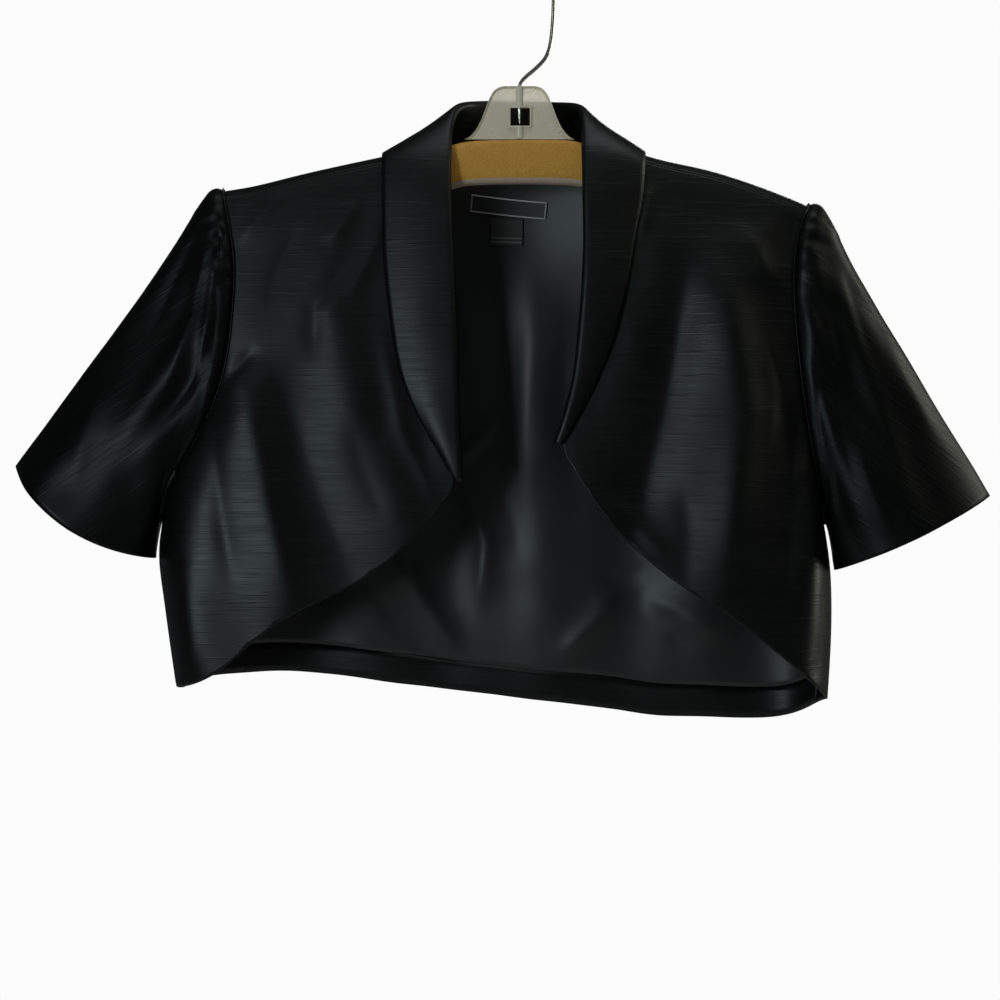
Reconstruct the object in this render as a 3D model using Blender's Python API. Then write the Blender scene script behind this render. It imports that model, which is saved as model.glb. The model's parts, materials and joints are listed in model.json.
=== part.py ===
# A cropped, short-sleeved bolero jacket hanging on its hanger.
# All sizes are in millimetres and become metres when a mesh is made. +Z is up and the front faces -Y,
# so the wearer's right side is at -X. The origin is the inside top of the hook, where a rail holds it.
import math
import bmesh
import bpy
from mathutils import Vector

for old in list(bpy.data.objects):
    bpy.data.objects.remove(old, do_unlink=True)

MM = 0.001

# Cloth walls: the outer shell with its stiffening, the sleeves, the folded collar and the thin inside layers
SHELL = 1.8
SLEEVE = 1.6
COLLAR = 1.9
LINING = 1.0
TRIM = 1.0
SEAM_GAP = 0.3
HALF_SEAM = SEAM_GAP / 2

# How the shell hangs: over a round hanger arm, then away from it as it drops
ARM_RADIUS = 12
SPREAD = 40
SPREAD_DROP = 180
SIDE_FOLD = 35
# Places this near the side seam count as on it
EDGE_TOLERANCE = 0.05
NECK_BULGE = 30
NECK_BULGE_WIDTH = 55
NECK_BULGE_DROP = 90
SHOULDER_SEAM = 14
HEM_FACING = 22

# Mesh rows and columns
ARMHOLE_ROWS = 13
SIDE_ROWS = 8
NECK_COLUMNS = 14
# Columns of a front from its side to its edge, close together where it turns round the side, and the
# share of the back's hem that hangs below one shoulder
FRONT_SHARES = (0, 0.03, 0.09, 0.17, 0.26, 0.36, 0.46, 0.56, 0.66, 0.76, 0.85, 0.93, 1)
SHOULDER_SPAN = 0.36
OVER_SHOULDER_ROWS = 4
# Fine rows round the hanger's arm, as lengths of cloth from the shoulder line
FRONT_START = (14, 21)
BACK_START = (14, 7, 0, -7, -14, -21)

# The shoulder line, from the right sleeve head to the left one. Columns: x, z
SHOULDER_LINE = [
    (-219, -170), (-199, -167), (-171, -160), (-143, -153), (-113, -146.5), (-68, -138), (0, -134),
    (68, -136.5), (107, -147), (142, -154.5), (173, -164.5), (192, -172), (213.5, -181),
]

# Armhole and side seam from the shoulder down to the hem. Fullness is the armhole's depth as a share
# of the shell's, and is 0 where front and back meet in the side seam. Columns: z, x, fullness
RIGHT_OUTLINE = [
    (-170, -219, 0.92), (-200, -213, 0.92), (-228, -209, 0.92), (-262, -210, 0.92), (-292, -213, 0.9),
    (-325, -221, 0.84), (-355, -236, 0.7), (-385, -254, 0.48), (-405, -262, 0.26), (-418, -264, 0),
    (-440, -266, 0), (-472, -262, 0), (-502, -258, 0), (-536, -253, 0),
]
LEFT_OUTLINE = [
    (-181, 213.5, 0.88), (-201, 205, 0.88), (-230, 201, 0.84), (-260, 201, 0.8), (-289, 203.5, 0.74),
    (-318, 206.5, 0.66), (-354, 212, 0.55), (-383, 218, 0.4), (-408, 222.5, 0.22), (-420, 225, 0),
    (-447, 229, 0), (-485, 230, 0), (-513, 229, 0), (-545, 227, 0),
]
UNDERARM_Z = {-1: -418, 1: -420}
SIDE_HEM_Z = {-1: -536, 1: -545}


def between(rows, key, column=1):
    """Read a column of a table at a key, along a smooth line through its rows, straight past the ends."""
    rows = sorted(rows)
    if key <= rows[0][0]:
        low, high = rows[0], rows[1]
        return low[column] + (key - low[0]) * (high[column] - low[column]) / (high[0] - low[0])
    if key >= rows[-1][0]:
        low, high = rows[-2], rows[-1]
        return high[column] + (key - high[0]) * (high[column] - low[column]) / (high[0] - low[0])
    place = next(i for i in range(len(rows) - 1) if rows[i + 1][0] >= key)
    before, low = rows[max(place - 1, 0)], rows[place]
    high, after = rows[place + 1], rows[min(place + 2, len(rows) - 1)]
    width = high[0] - low[0]
    share = (key - low[0]) / width
    slope_low = (high[column] - before[column]) / (high[0] - before[0]) * width
    slope_high = (after[column] - low[column]) / (after[0] - low[0]) * width
    return (low[column] * (2 * share ** 3 - 3 * share ** 2 + 1)
            + slope_low * (share ** 3 - 2 * share ** 2 + share)
            + high[column] * (3 * share ** 2 - 2 * share ** 3)
            + slope_high * (share ** 3 - share ** 2))


def ease(value):
    """Smooth step from 0 to 1."""
    value = max(0.0, min(1.0, value))
    return value * value * (3 - 2 * value)


def ridge(x):
    """Height of the shoulder line, carried on past the neck and the sleeve heads."""
    return between(SHOULDER_LINE, x)


def drop(wrap):
    """How far below the shoulder line the shell is, a length of cloth away from it."""
    length = abs(wrap)
    quarter = ARM_RADIUS * math.pi / 2
    if length < quarter:
        return ARM_RADIUS * (1 - math.cos(length / ARM_RADIUS))
    return ARM_RADIUS + length - quarter


def wrap_at(fall):
    """The length of cloth from the shoulder line down to a drop."""
    if fall < ARM_RADIUS:
        return ARM_RADIUS * math.acos(1 - max(fall, 0) / ARM_RADIUS)
    return fall - ARM_RADIUS + ARM_RADIUS * math.pi / 2


def front(x, z):
    """A place on the front of the shell: x, and the length of cloth down from the shoulder line."""
    return (x, wrap_at(ridge(x) - z))


def behind(x, z):
    """A place on the back of the shell, where that length counts below zero."""
    return (x, -wrap_at(ridge(x) - z))


def outline(x):
    return RIGHT_OUTLINE if x < 0 else LEFT_OUTLINE


def half_depth(wrap):
    """How far the shell stands in front of or behind the hanger's middle."""
    arc = ARM_RADIUS * math.sin(min(abs(wrap) / ARM_RADIUS, math.pi / 2))
    return arc + SPREAD * (1 - math.exp(-drop(wrap) / SPREAD_DROP))


def skin(x, wrap):
    """The smooth middle surface of the shell, before its folds."""
    z = ridge(x) - drop(wrap)
    inset = max(0.0, abs(between(outline(x), z)) - abs(x) - EDGE_TOLERANCE)
    fullness = max(0.0, min(1.0, between(outline(x), z, 2)))
    deep = half_depth(wrap)
    at_edge = fullness * deep
    rounding = 1 - (1 - min(1.0, inset / SIDE_FOLD)) ** 2
    y = at_edge + (deep - at_edge) * rounding ** (0.5 + 0.5 * fullness)
    if wrap < 0:
        hollow = NECK_BULGE * math.exp(-(x / NECK_BULGE_WIDTH) ** 2 - drop(wrap) / NECK_BULGE_DROP)
        return Vector((x, y + hollow * ease(-wrap / ARM_RADIUS), z))
    return Vector((x, -y, z))


def outward(x, wrap):
    """The outward direction of the shell."""
    step = 0.5
    across = skin(x + step, wrap) - skin(x - step, wrap)
    down = skin(x, wrap + step) - skin(x, wrap - step)
    return across.cross(down).normalized() * -1


def edge_place(side, wrap):
    """The place on the armhole or side seam at a length of cloth from the shoulder line."""
    rows = RIGHT_OUTLINE if side < 0 else LEFT_OUTLINE
    x = rows[0][1]
    for _ in range(12):
        x = 0.5 * (x + between(rows, ridge(x) - drop(wrap)))
    return (x, wrap)


def edge_wrap(side, z):
    """The length of cloth from the shoulder line down to a height on the armhole or side seam."""
    x = between(RIGHT_OUTLINE if side < 0 else LEFT_OUTLINE, z)
    return wrap_at(ridge(x) - z)


def sample(points, shares):
    """The places at some shares of the way along a line of points."""
    lengths = [0.0]
    for a, b in zip(points, points[1:]):
        lengths.append(lengths[-1] + math.dist(a, b))
    result = []
    place = 0
    for way in shares:
        target = lengths[-1] * way
        while place < len(points) - 2 and lengths[place + 1] < target:
            place += 1
        span = lengths[place + 1] - lengths[place]
        share = (target - lengths[place]) / span if span else 0.0
        share = min(1.0, max(0.0, share))
        result.append(tuple(a + (b - a) * share for a, b in zip(points[place], points[place + 1])))
    return result


def resample(points, count):
    """The same line with its points evenly spaced along it."""
    return sample(points, [step / count for step in range(count + 1)])


def smooth(rows, first, last):
    """Many rows along a smooth line through a table, from one of its rows to another."""
    fine = []
    for place in range(first, last):
        before, low = rows[max(place - 1, 0)], rows[place]
        high, after = rows[place + 1], rows[min(place + 2, len(rows) - 1)]
        for step in range(12):
            t = step / 12
            fine.append(tuple(
                0.5 * (2 * b + (c - a) * t + (2 * a - 5 * b + 4 * c - d) * t * t
                       + (3 * b - a - 3 * c + d) * t ** 3)
                for a, b, c, d in zip(before, low, high, after)))
    fine.append(rows[last])
    return fine


def course(rows, first, last, count):
    return resample(smooth(rows, first, last), count)


def whole(rows):
    return smooth(rows, 0, len(rows) - 1)


def patch(top, bottom, left, right, shares):
    """Fill the space inside four edges with rows of places. The shares space its columns."""
    grid = []
    for v, (start, end) in enumerate(zip(left, right)):
        down = v / (len(left) - 1)
        row = []
        for over, high, low in zip(shares, top, bottom):
            row.append(tuple(
                (1 - down) * high[k] + down * low[k] + (1 - over) * start[k] + over * end[k]
                - (1 - down) * ((1 - over) * top[0][k] + over * top[-1][k])
                - down * ((1 - over) * bottom[0][k] + over * bottom[-1][k])
                for k in range(2)))
        grid.append(row)
    return grid


# Collar sections, from the break of the front edge up to the shoulder seam.
# Columns: place of the neck seam, point of the roll line, place of the outer edge
RIGHT_COLLAR = [
    (front(-46, -386), (-41.5, -45, -384), front(-49, -380)),
    (front(-49, -368), (-42.6, -47, -366), front(-62, -358)),
    (front(-52, -335), (-44, -45, -335), front(-77, -331)),
    (front(-54, -302), (-45, -43, -302), front(-88, -303)),
    (front(-55, -262), (-46.3, -39, -262), front(-95, -262)),
    (front(-58, -218), (-48.6, -34, -218), front(-99.6, -218)),
    (front(-61, -178), (-50.4, -26, -173), front(-100.5, -180)),
    ((-75, SHOULDER_SEAM), (-50.5, -14, -138), (-100.5, SHOULDER_SEAM)),
]
LEFT_COLLAR = [
    (front(29, -359), (25, -43, -357), front(32, -354)),
    (front(38, -342), (31, -45, -340), front(45, -332)),
    (front(47, -311), (38.4, -43, -311), front(58, -306)),
    (front(52, -275), (42.8, -40, -275), front(70, -275)),
    (front(55, -238), (45.9, -37, -238), front(79, -236)),
    (front(56, -202), (46.8, -31, -202), front(84.5, -204)),
    (front(60, -172), (46.3, -24, -168), front(90, -176)),
    ((72, SHOULDER_SEAM), (46, -13, -134), (91.5, SHOULDER_SEAM)),
]
# Round the back of the neck, from the right shoulder line to the left one, with the same columns
NECK_COLLAR = [
    ((-69.5, 2), (-48.6, 0, -115), (-99, 0)),
    ((-60, -13), (-44.5, 11, -104), (-88, -20)),
    ((-41, -24), (-33, 27, -99.5), (-58, -30)),
    ((0, -28), (0, 41, -97.5), (0, -34)),
    ((41, -24), (33, 26, -100.5), (55, -29)),
    ((59, -13), (44.5, 10, -104.5), (82, -20)),
    ((67.5, 2), (46.4, 0, -116), (91, 0)),
]
BREAK_ROWS = ARMHOLE_ROWS + SIDE_ROWS

# Hems and front edges, from the side seam to the break of the collar. Columns: x, z
RIGHT_FRONT_EDGE = [
    (-253, -536), (-235, -532), (-217, -523), (-205, -512), (-186, -494), (-161, -479), (-121, -460),
    (-89, -438), (-60, -408), (-46, -386),
]
LEFT_FRONT_EDGE = [
    (227, -545), (220, -538), (208, -527), (194, -516), (174, -499), (152, -482), (128, -468),
    (107, -454), (85, -436), (62, -411), (42, -382), (29, -359),
]
BACK_HEM = [
    (-253, -536), (-241, -532), (-228, -530), (-188, -527), (-151, -529), (-122, -532), (-90, -537),
    (-57, -541), (-21, -545), (20, -550), (76, -557), (137, -561.5), (167, -563), (193, -562.5),
    (211, -558), (220, -551), (227, -545),
]

# Folds of the fronts and the back. Columns: x, z of the start, middle and end, height, half width on
# its -X side and, where that differs, on its +X side. A height below zero is a trough.
FRONT_FOLDS = [
    (-214, -262, -194, -376, -158, -540, 6, 24, 20),
    (-150, -215, -118, -335, -70, -470, 4.5, 22, 16),
    (-172, -330, -152, -420, -126, -500, -2.5, 13),
    (-100, -290, -86, -352, -62, -398, -2.5, 11),
    (-126, -186, -139, -210, -154, -234, 2.5, 8),
    (-122, -222, -137, -246, -154, -270, 2.5, 8),
    (-166, -175, -186, -195, -204, -216, 1.5, 7),
    (-208, -308, -198, -297, -184, -282, -3, 8),
    (-232, -440, -237, -480, -240, -530, 3, 11),
    (146, -180, 153, -324, 158, -560, 7.5, 34, 22),
    (104, -168, 92, -250, 66, -352, 3, 12, 11),
    (34, -350, 62, -420, 98, -500, 4, 14, 16),
    (191, -236, 186, -360, 176, -540, -3, 13),
    (159, -200, 173, -222, 190, -248, 2.5, 8),
    (206, -330, 214, -420, 214, -560, 3, 9),
]
BACK_FOLDS = [
    (-190, -215, -168, -330, -150, -560, 5, 18),
    (-128, -190, -112, -330, -104, -560, -5, 20),
    (-44, -240, -50, -390, -62, -560, 5, 22),
    (20, -210, 16, -380, 22, -570, -5, 20),
    (88, -200, 84, -340, 78, -575, 5, 19),
    (150, -210, 140, -360, 138, -580, -5, 18),
    (196, -250, 184, -380, 176, -580, 4, 15),
    (-214, -300, -206, -420, -200, -545, -4, 14),
]
# Folds of the lining, which stand into the hollow of the jacket. The columns are the same
LINING_FOLDS = [
    (8, -215, 10, -320, 8, -410, 4, 13),
    (-45, -395, -26, -428, -30, -485, 3.5, 9),
    (-95, -440, -72, -478, -45, -520, 4, 10),
    (78, -470, 56, -492, 34, -520, 4, 10),
    (110, -450, 138, -478, 150, -510, 3.5, 11),
    (-150, -470, -128, -500, -118, -520, 3, 10),
    (-30, -235, -38, -270, -46, -330, 3, 10),
]


def along_fold(px, pz, row):
    """How far a place is from a fold's line, how far along it is, and whether it is on the +X side."""
    best = (1e9, 0.0, False)
    corners = [(row[0], row[1]), (row[2], row[3]), (row[4], row[5])]
    for part in range(2):
        (ax, az), (bx, bz) = corners[part], corners[part + 1]
        length = (bx - ax) ** 2 + (bz - az) ** 2
        share = max(0.0, min(1.0, ((px - ax) * (bx - ax) + (pz - az) * (bz - az)) / length))
        away = math.hypot(px - ax - share * (bx - ax), pz - az - share * (bz - az))
        past = (bx - ax) * (pz - az) > (bz - az) * (px - ax)
        best = min(best, (away, (part + share) / 2, past))
    return best


def fold_height(folds, px, pz):
    """The sum of the folds at a place, each highest in its middle and fading to its ends."""
    total = 0.0
    for row in folds:
        away, share, past = along_fold(px, pz, row)
        fade = ease(share * 4) * ease((1 - share) * 4)
        total += row[6] * fade * math.exp(-(away / (row[-1] if past else row[7])) ** 2)
    return total


def calm(x, wrap, z):
    """1 in the open cloth, and 0 along seams and under the collar, where folds are held flat."""
    inset = abs(between(outline(x), z)) - abs(x)
    result = ease(inset / 16) * ease((abs(wrap) - SHOULDER_SEAM) / 20)
    rows = RIGHT_COLLAR if x < 0 else LEFT_COLLAR
    if wrap > 0:
        edge = [(ridge(row[2][0]) - drop(row[2][1]), row[2][0]) for row in rows]
        if z > edge[0][0] - 10:
            result *= ease((abs(x) - abs(between(edge, z)) - 3) / 16)
    else:
        result *= ease((-wrap - 40) / 40)
    return result


def shell_point(x, wrap):
    """The middle surface of the shell with its folds."""
    base = skin(x, wrap)
    folds = FRONT_FOLDS if wrap > 0 else BACK_FOLDS
    return base + outward(x, wrap) * fold_height(folds, x, base.z) * calm(x, wrap, base.z)


def quad_sign(grid, look):
    """1 or -1, so that the turn of rows and columns gives a normal on the side that is asked for."""
    v, u = len(grid) // 2, len(grid[0]) // 2
    normal = (grid[v][u] - grid[v][u - 1]).cross(grid[v][u] - grid[v - 1][u])
    return 1 if normal.dot(look) > 0 else -1


def key_of(point):
    return tuple(round(value * 2 + 0.37) for value in point)


def gather_normals(grids, ring=False):
    """Normals at every point of some surfaces, shared where the surfaces meet."""
    sums = {}
    for grid, sign in grids:
        columns = len(grid[0])
        for v in range(len(grid) - 1):
            for u in range(columns if ring else columns - 1):
                a, b = grid[v][u], grid[v][(u + 1) % columns]
                c, d = grid[v + 1][(u + 1) % columns], grid[v + 1][u]
                normal = (c - a).cross(d - b) * sign
                for corner in (a, b, c, d):
                    sums[key_of(corner)] = sums.get(key_of(corner), Vector()) + normal
    return {key: value.normalized() for key, value in sums.items()}


def parted(grid, normals, borders):
    """Draw the named borders back by half of the seam gap, so that two pieces don't touch there."""
    moved = [[point.copy() for point in row] for row in grid]
    rows, columns = len(grid), len(grid[0])
    picks = {
        "top": [(0, u, 1, u) for u in range(columns)],
        "bottom": [(rows - 1, u, rows - 2, u) for u in range(columns)],
        "left": [(v, 0, v, 1) for v in range(rows)],
        "right": [(v, columns - 1, v, columns - 2) for v in range(rows)],
    }
    for name, first, last in borders:
        for v, u, v_in, u_in in picks[name][first:last]:
            if name in ("top", "bottom"):
                tangent = grid[v][min(u + 1, columns - 1)] - grid[v][max(u - 1, 0)]
            else:
                tangent = grid[min(v + 1, rows - 1)][u] - grid[max(v - 1, 0)][u]
            inward = normals[v][u].cross(tangent).normalized()
            if inward.dot(grid[v_in][u_in] - grid[v][u]) < 0:
                inward = inward * -1
            moved[v][u] += inward * HALF_SEAM
    return moved


def add_object(name, bm, material):
    """Turn a millimetre mesh into a smooth object in metres."""
    bmesh.ops.recalc_face_normals(bm, faces=bm.faces)
    bmesh.ops.scale(bm, vec=(MM, MM, MM), verts=bm.verts)
    mesh = bpy.data.meshes.new(name)
    bm.to_mesh(mesh)
    bm.free()
    mesh.materials.append(material)
    mesh.shade_smooth()
    mesh.set_sharp_from_angle(angle=math.radians(50))
    piece = bpy.data.objects.new(name, mesh)
    bpy.context.collection.objects.link(piece)
    return piece


# A slanting direction that no seam runs square to, by which an edge strip's diagonal is picked
SPLIT_WAY = Vector((1, 2.1, 3.3))


def all_cells(grid, ring=False):
    columns = len(grid[0]) if ring else len(grid[0]) - 1
    return [(v, u) for v in range(len(grid) - 1) for u in range(columns)]


def wall(name, grid, normals, thickness, finish, ring=False, cells=None):
    """A cloth wall of even thickness: a face on each side of the grid, joined round its open edges.
    Normals are a grid of directions that matches the points."""
    bm = bmesh.new()
    columns = len(grid[0])
    outer, inner = {}, {}
    edges = {}
    for v, u in cells or all_cells(grid, ring):
        corners = [(v, u), (v, (u + 1) % columns), (v + 1, (u + 1) % columns), (v + 1, u)]
        for row, column in corners:
            if (row, column) not in outer:
                point, shift = grid[row][column], normals[row][column] * (thickness / 2)
                outer[row, column] = bm.verts.new(point + shift)
                inner[row, column] = bm.verts.new(point - shift)
        bm.faces.new([outer[corner] for corner in corners])
        bm.faces.new([inner[corner] for corner in corners])
        for start, end in zip(corners, corners[1:] + corners[:1]):
            edges[start, end] = True
    for start, end in edges:
        if (end, start) in edges:
            continue
        # The edge strip is split the same way on both pieces of a seam, so that they stay apart
        if outer[start].co.dot(SPLIT_WAY) > outer[end].co.dot(SPLIT_WAY):
            bm.faces.new((outer[start], outer[end], inner[end]))
            bm.faces.new((outer[start], inner[end], inner[start]))
        else:
            bm.faces.new((outer[start], outer[end], inner[start]))
            bm.faces.new((outer[end], inner[end], inner[start]))
    return add_object(name, bm, finish)


def own_normals(grid, look, ring=False):
    """Normals of one surface by itself, on the side that is asked for."""
    part = [row[:14] for row in grid] if ring else grid
    return normal_grid(grid, gather_normals([(grid, quad_sign(part, look))], ring))


def normal_grid(grid, normals):
    return [[normals[key_of(point)] for point in row] for row in grid]


def moved_in(grid, normals, depth):
    return [[point - normal * depth for point, normal in zip(*rows)] for rows in zip(grid, normals)]


def material(name, colour, roughness, metallic=0.0):
    """A plain finish with the colour, roughness and metalness of one of the real materials."""
    finish = bpy.data.materials.new(name)
    finish.use_nodes = True
    shader = finish.node_tree.nodes["Principled BSDF"]
    shader.inputs["Base Color"].default_value = (*colour, 1)
    shader.inputs["Roughness"].default_value = roughness
    shader.inputs["Metallic"].default_value = metallic
    return finish


SHANTUNG = material("black_shantung", (0.012, 0.014, 0.014), 0.42)
SATIN = material("black_lining", (0.008, 0.008, 0.009), 0.3)
WOVEN = material("woven_label", (0.02, 0.02, 0.02), 0.6)
TAPE = material("size_tape", (0.05, 0.055, 0.05), 0.5)
PLASTIC = material("clear_grey_plastic", (0.62, 0.63, 0.6), 0.2)
FOAM = material("tan_foam", (0.42, 0.27, 0.1), 0.9)
STEEL = material("steel_wire", (0.6, 0.6, 0.56), 0.25, 1.0)


def flat_row(row):
    seam, roll, edge = row
    return (*seam, *roll, *edge)


def collar_course():
    """Collar sections: those of the right front, the back of the neck, and the left front."""
    rows = [flat_row(row) for row in RIGHT_COLLAR + NECK_COLLAR + LEFT_COLLAR[::-1]]
    right_seam = len(RIGHT_COLLAR) - 1
    left_seam = right_seam + len(NECK_COLLAR) + 1
    right = course(rows, 0, right_seam, BREAK_ROWS)
    neck = course(rows, right_seam, left_seam, NECK_COLUMNS)
    left = course(rows, left_seam, len(rows) - 1, BREAK_ROWS)
    return right, neck, left


def armhole_and_side(side, facing):
    """Places down the armhole and the side seam, on the front (1) or the back (-1).
    Both start at the shoulder seam, so those of the back pass over the shoulder line first."""
    underarm = edge_wrap(side, UNDERARM_Z[side]) * facing
    hem = edge_wrap(side, SIDE_HEM_Z[side]) * facing
    start = [edge_place(side, wrap) for wrap in (FRONT_START if facing > 0 else BACK_START)]
    last = start[-1][1]
    armhole = [edge_place(side, last + (underarm - last) * k / 60) for k in range(61)]
    facing_top = hem - HEM_FACING * facing
    below = [edge_place(side, underarm + (facing_top - underarm) * k / 12) for k in range(13)]
    rows = ARMHOLE_ROWS + 1 - len(FRONT_START)
    return (start[:-1] + resample(armhole, rows)[:-1] + resample(below, SIDE_ROWS - 1)
            + [edge_place(side, hem)])


def as_points(grid, surface):
    return [[surface(*place) for place in row] for row in grid]


def front_places(side, seam):
    """Rows of places over one front panel. The seam is the collar's, from the shoulder to the break."""
    outer = armhole_and_side(side, 1)
    top = sample([outer[0], seam[0]], FRONT_SHARES)
    rows = RIGHT_FRONT_EDGE if side < 0 else LEFT_FRONT_EDGE
    bottom = sample(whole([front(x, z) for x, z in rows]), FRONT_SHARES)
    bottom[0], bottom[-1] = outer[-1], seam[-1]
    return patch(top, bottom, outer, seam, FRONT_SHARES)


def back_places(neck):
    """Rows of places over the back panel, with the neck's places in the middle of its top edge."""
    right = armhole_and_side(-1, -1)
    left = armhole_and_side(1, -1)
    from_left = [1 - share for share in FRONT_SHARES[::-1]]
    top = (sample([right[0], neck[0]], FRONT_SHARES)[:-1] + neck
           + sample([neck[-1], left[0]], from_left)[1:])
    middle = 1 - 2 * SHOULDER_SPAN
    shares = [share * SHOULDER_SPAN for share in FRONT_SHARES]
    shares += [SHOULDER_SPAN + middle * k / NECK_COLUMNS for k in range(1, NECK_COLUMNS)]
    shares += [1 - SHOULDER_SPAN + share * SHOULDER_SPAN for share in from_left]
    bottom = sample(whole([behind(x, z) for x, z in BACK_HEM]), shares)
    bottom[0], bottom[-1] = right[-1], left[-1]
    return patch(top, bottom, right, left, shares)


# The collar's fold: its radius at the roll line, its lift over the shell at the outer edge, and its spring
ROLL_RADIUS = 3.2
EDGE_LIFT = 3.2
SHOULDER_LIFT = 2.6
COLLAR_SPRING = 2.2
COLLAR_ARC = 4


def collar_grid(rows):
    """Sweep the folded collar section along its course."""
    points = []
    for row in rows:
        lift = EDGE_LIFT + SHOULDER_LIFT * ease(1 - abs(row[6]) / 22)
        edge = skin(row[5], row[6]) + outward(row[5], row[6]) * lift
        points.append((skin(row[0], row[1]), Vector(row[2:5]), edge))
    grid = []
    for place, (seam, roll, edge) in enumerate(points):
        before = points[max(place - 1, 0)][1]
        after = points[min(place + 1, len(points) - 1)][1]
        forward = (after - before).normalized()
        tip = (roll - seam).normalized() + (roll - edge).normalized()
        tip = (tip - forward * tip.dot(forward)).normalized()
        outer = forward.cross(tip) * -1
        radius = min(ROLL_RADIUS, (roll - edge).length * 0.3)
        centre = roll - tip * radius
        section = [seam, seam.lerp(centre - outer * radius, 0.5)]
        for step in range(COLLAR_ARC + 1):
            turn = math.pi * step / COLLAR_ARC
            section.append(centre + (tip * math.sin(turn) - outer * math.cos(turn)) * radius)
        spring = min(COLLAR_SPRING, (roll - edge).length * 0.08)
        for share in (0.3, 0.65, 1.0):
            bow = outer * math.sin(math.pi * share) * spring
            section.append((centre + outer * radius).lerp(edge, share) + bow)
        grid.append(section)
    return grid


# Sleeve hems. Columns: side, outer corner x and z, underarm end x and z, sag of the front and back, half depth
SLEEVE_HEMS = [
    (-1, -372, -373, -269, -441, 15, 8, 38),
    (1, 347.5, -395, 233, -450, 3, 3, 38),
]
SLEEVE_SHARES = (0, 0.03, 0.07, 0.13, 0.22, 0.34, 0.48, 0.65, 0.82, 1)
LONG_STEP = 10
# Folds of the sleeves, by the angle round the sleeve (0 on top, 90 in front, -90 behind) and the share of
# the way to the hem. Columns: angle, share of the start, middle and end, height, half width
RIGHT_SLEEVE_FOLDS = [
    (52, 0.12, 66, 0.34, 78, 0.62, 4, 10),
    (100, 0.16, 96, 0.36, 92, 0.6, 3, 8),
    (80, 0.1, 84, 0.3, 86, 0.5, -3.5, 8),
    (128, 0.5, 92, 0.72, 52, 0.86, -5, 14),
    (40, 0.5, 52, 0.72, 60, 1.0, 4, 18),
    (-50, 0.12, -62, 0.4, -74, 0.9, 4, 14),
    (-100, 0.2, -92, 0.5, -96, 0.95, -4, 14),
    (-130, 0.3, -128, 0.6, -132, 1.0, 4, 12),
]
LEFT_SLEEVE_FOLDS = [
    (28, 0.08, 30, 0.4, 32, 0.85, 4, 12),
    (62, 0.2, 66, 0.5, 74, 1.0, -5, 17),
    (96, 0.12, 106, 0.35, 118, 0.8, 3.5, 12),
    (140, 0.35, 138, 0.65, 140, 1.0, -3, 10),
    (-45, 0.12, -52, 0.4, -60, 0.95, -4, 14),
    (-84, 0.15, -90, 0.5, -96, 1.0, 4.5, 15),
    (-128, 0.3, -126, 0.6, -124, 1.0, -3.5, 12),
]
SLEEVE_GIRTH = 330
SLEEVE_LENGTH = 245
PAST_HEM = 60
CORNER_SLIMMING = 0.35
HEAD_PUFF = 4.5
HEAD_REACH = 0.06
SEAM_RISE = 3
HEAD_BOTTOM = -300
GATHERS = 11
GATHER_HEIGHT = 1.3


def arm_angles(points, underarm):
    """Angles round the sleeve for the points of an armhole: 0 on top, half a turn at the underarm."""
    steps = [(b - a).length for a, b in zip(points, points[1:] + points[:1])]
    first, second = sum(steps[:underarm]), sum(steps[underarm:])
    angles, done = [], 0.0
    for place, step in enumerate(steps):
        share = done / first if place <= underarm else 1 + (done - first) / second
        angles.append(math.pi * share)
        done += step
    return angles


def laid_flat(row):
    """A sleeve fold's table row in millimetres round and along the sleeve. One that ends at the hem
    runs on past it, so that it doesn't fade there."""
    start, middle, end = row[0:2], row[2:4], row[4:6]
    flat = []
    for angle, share in (start, middle, end):
        flat += [angle * SLEEVE_GIRTH / 360, share * SLEEVE_LENGTH]
    if row[5] == 1.0:
        flat[5] += PAST_HEM
    return (*flat, row[6], row[7])


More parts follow.
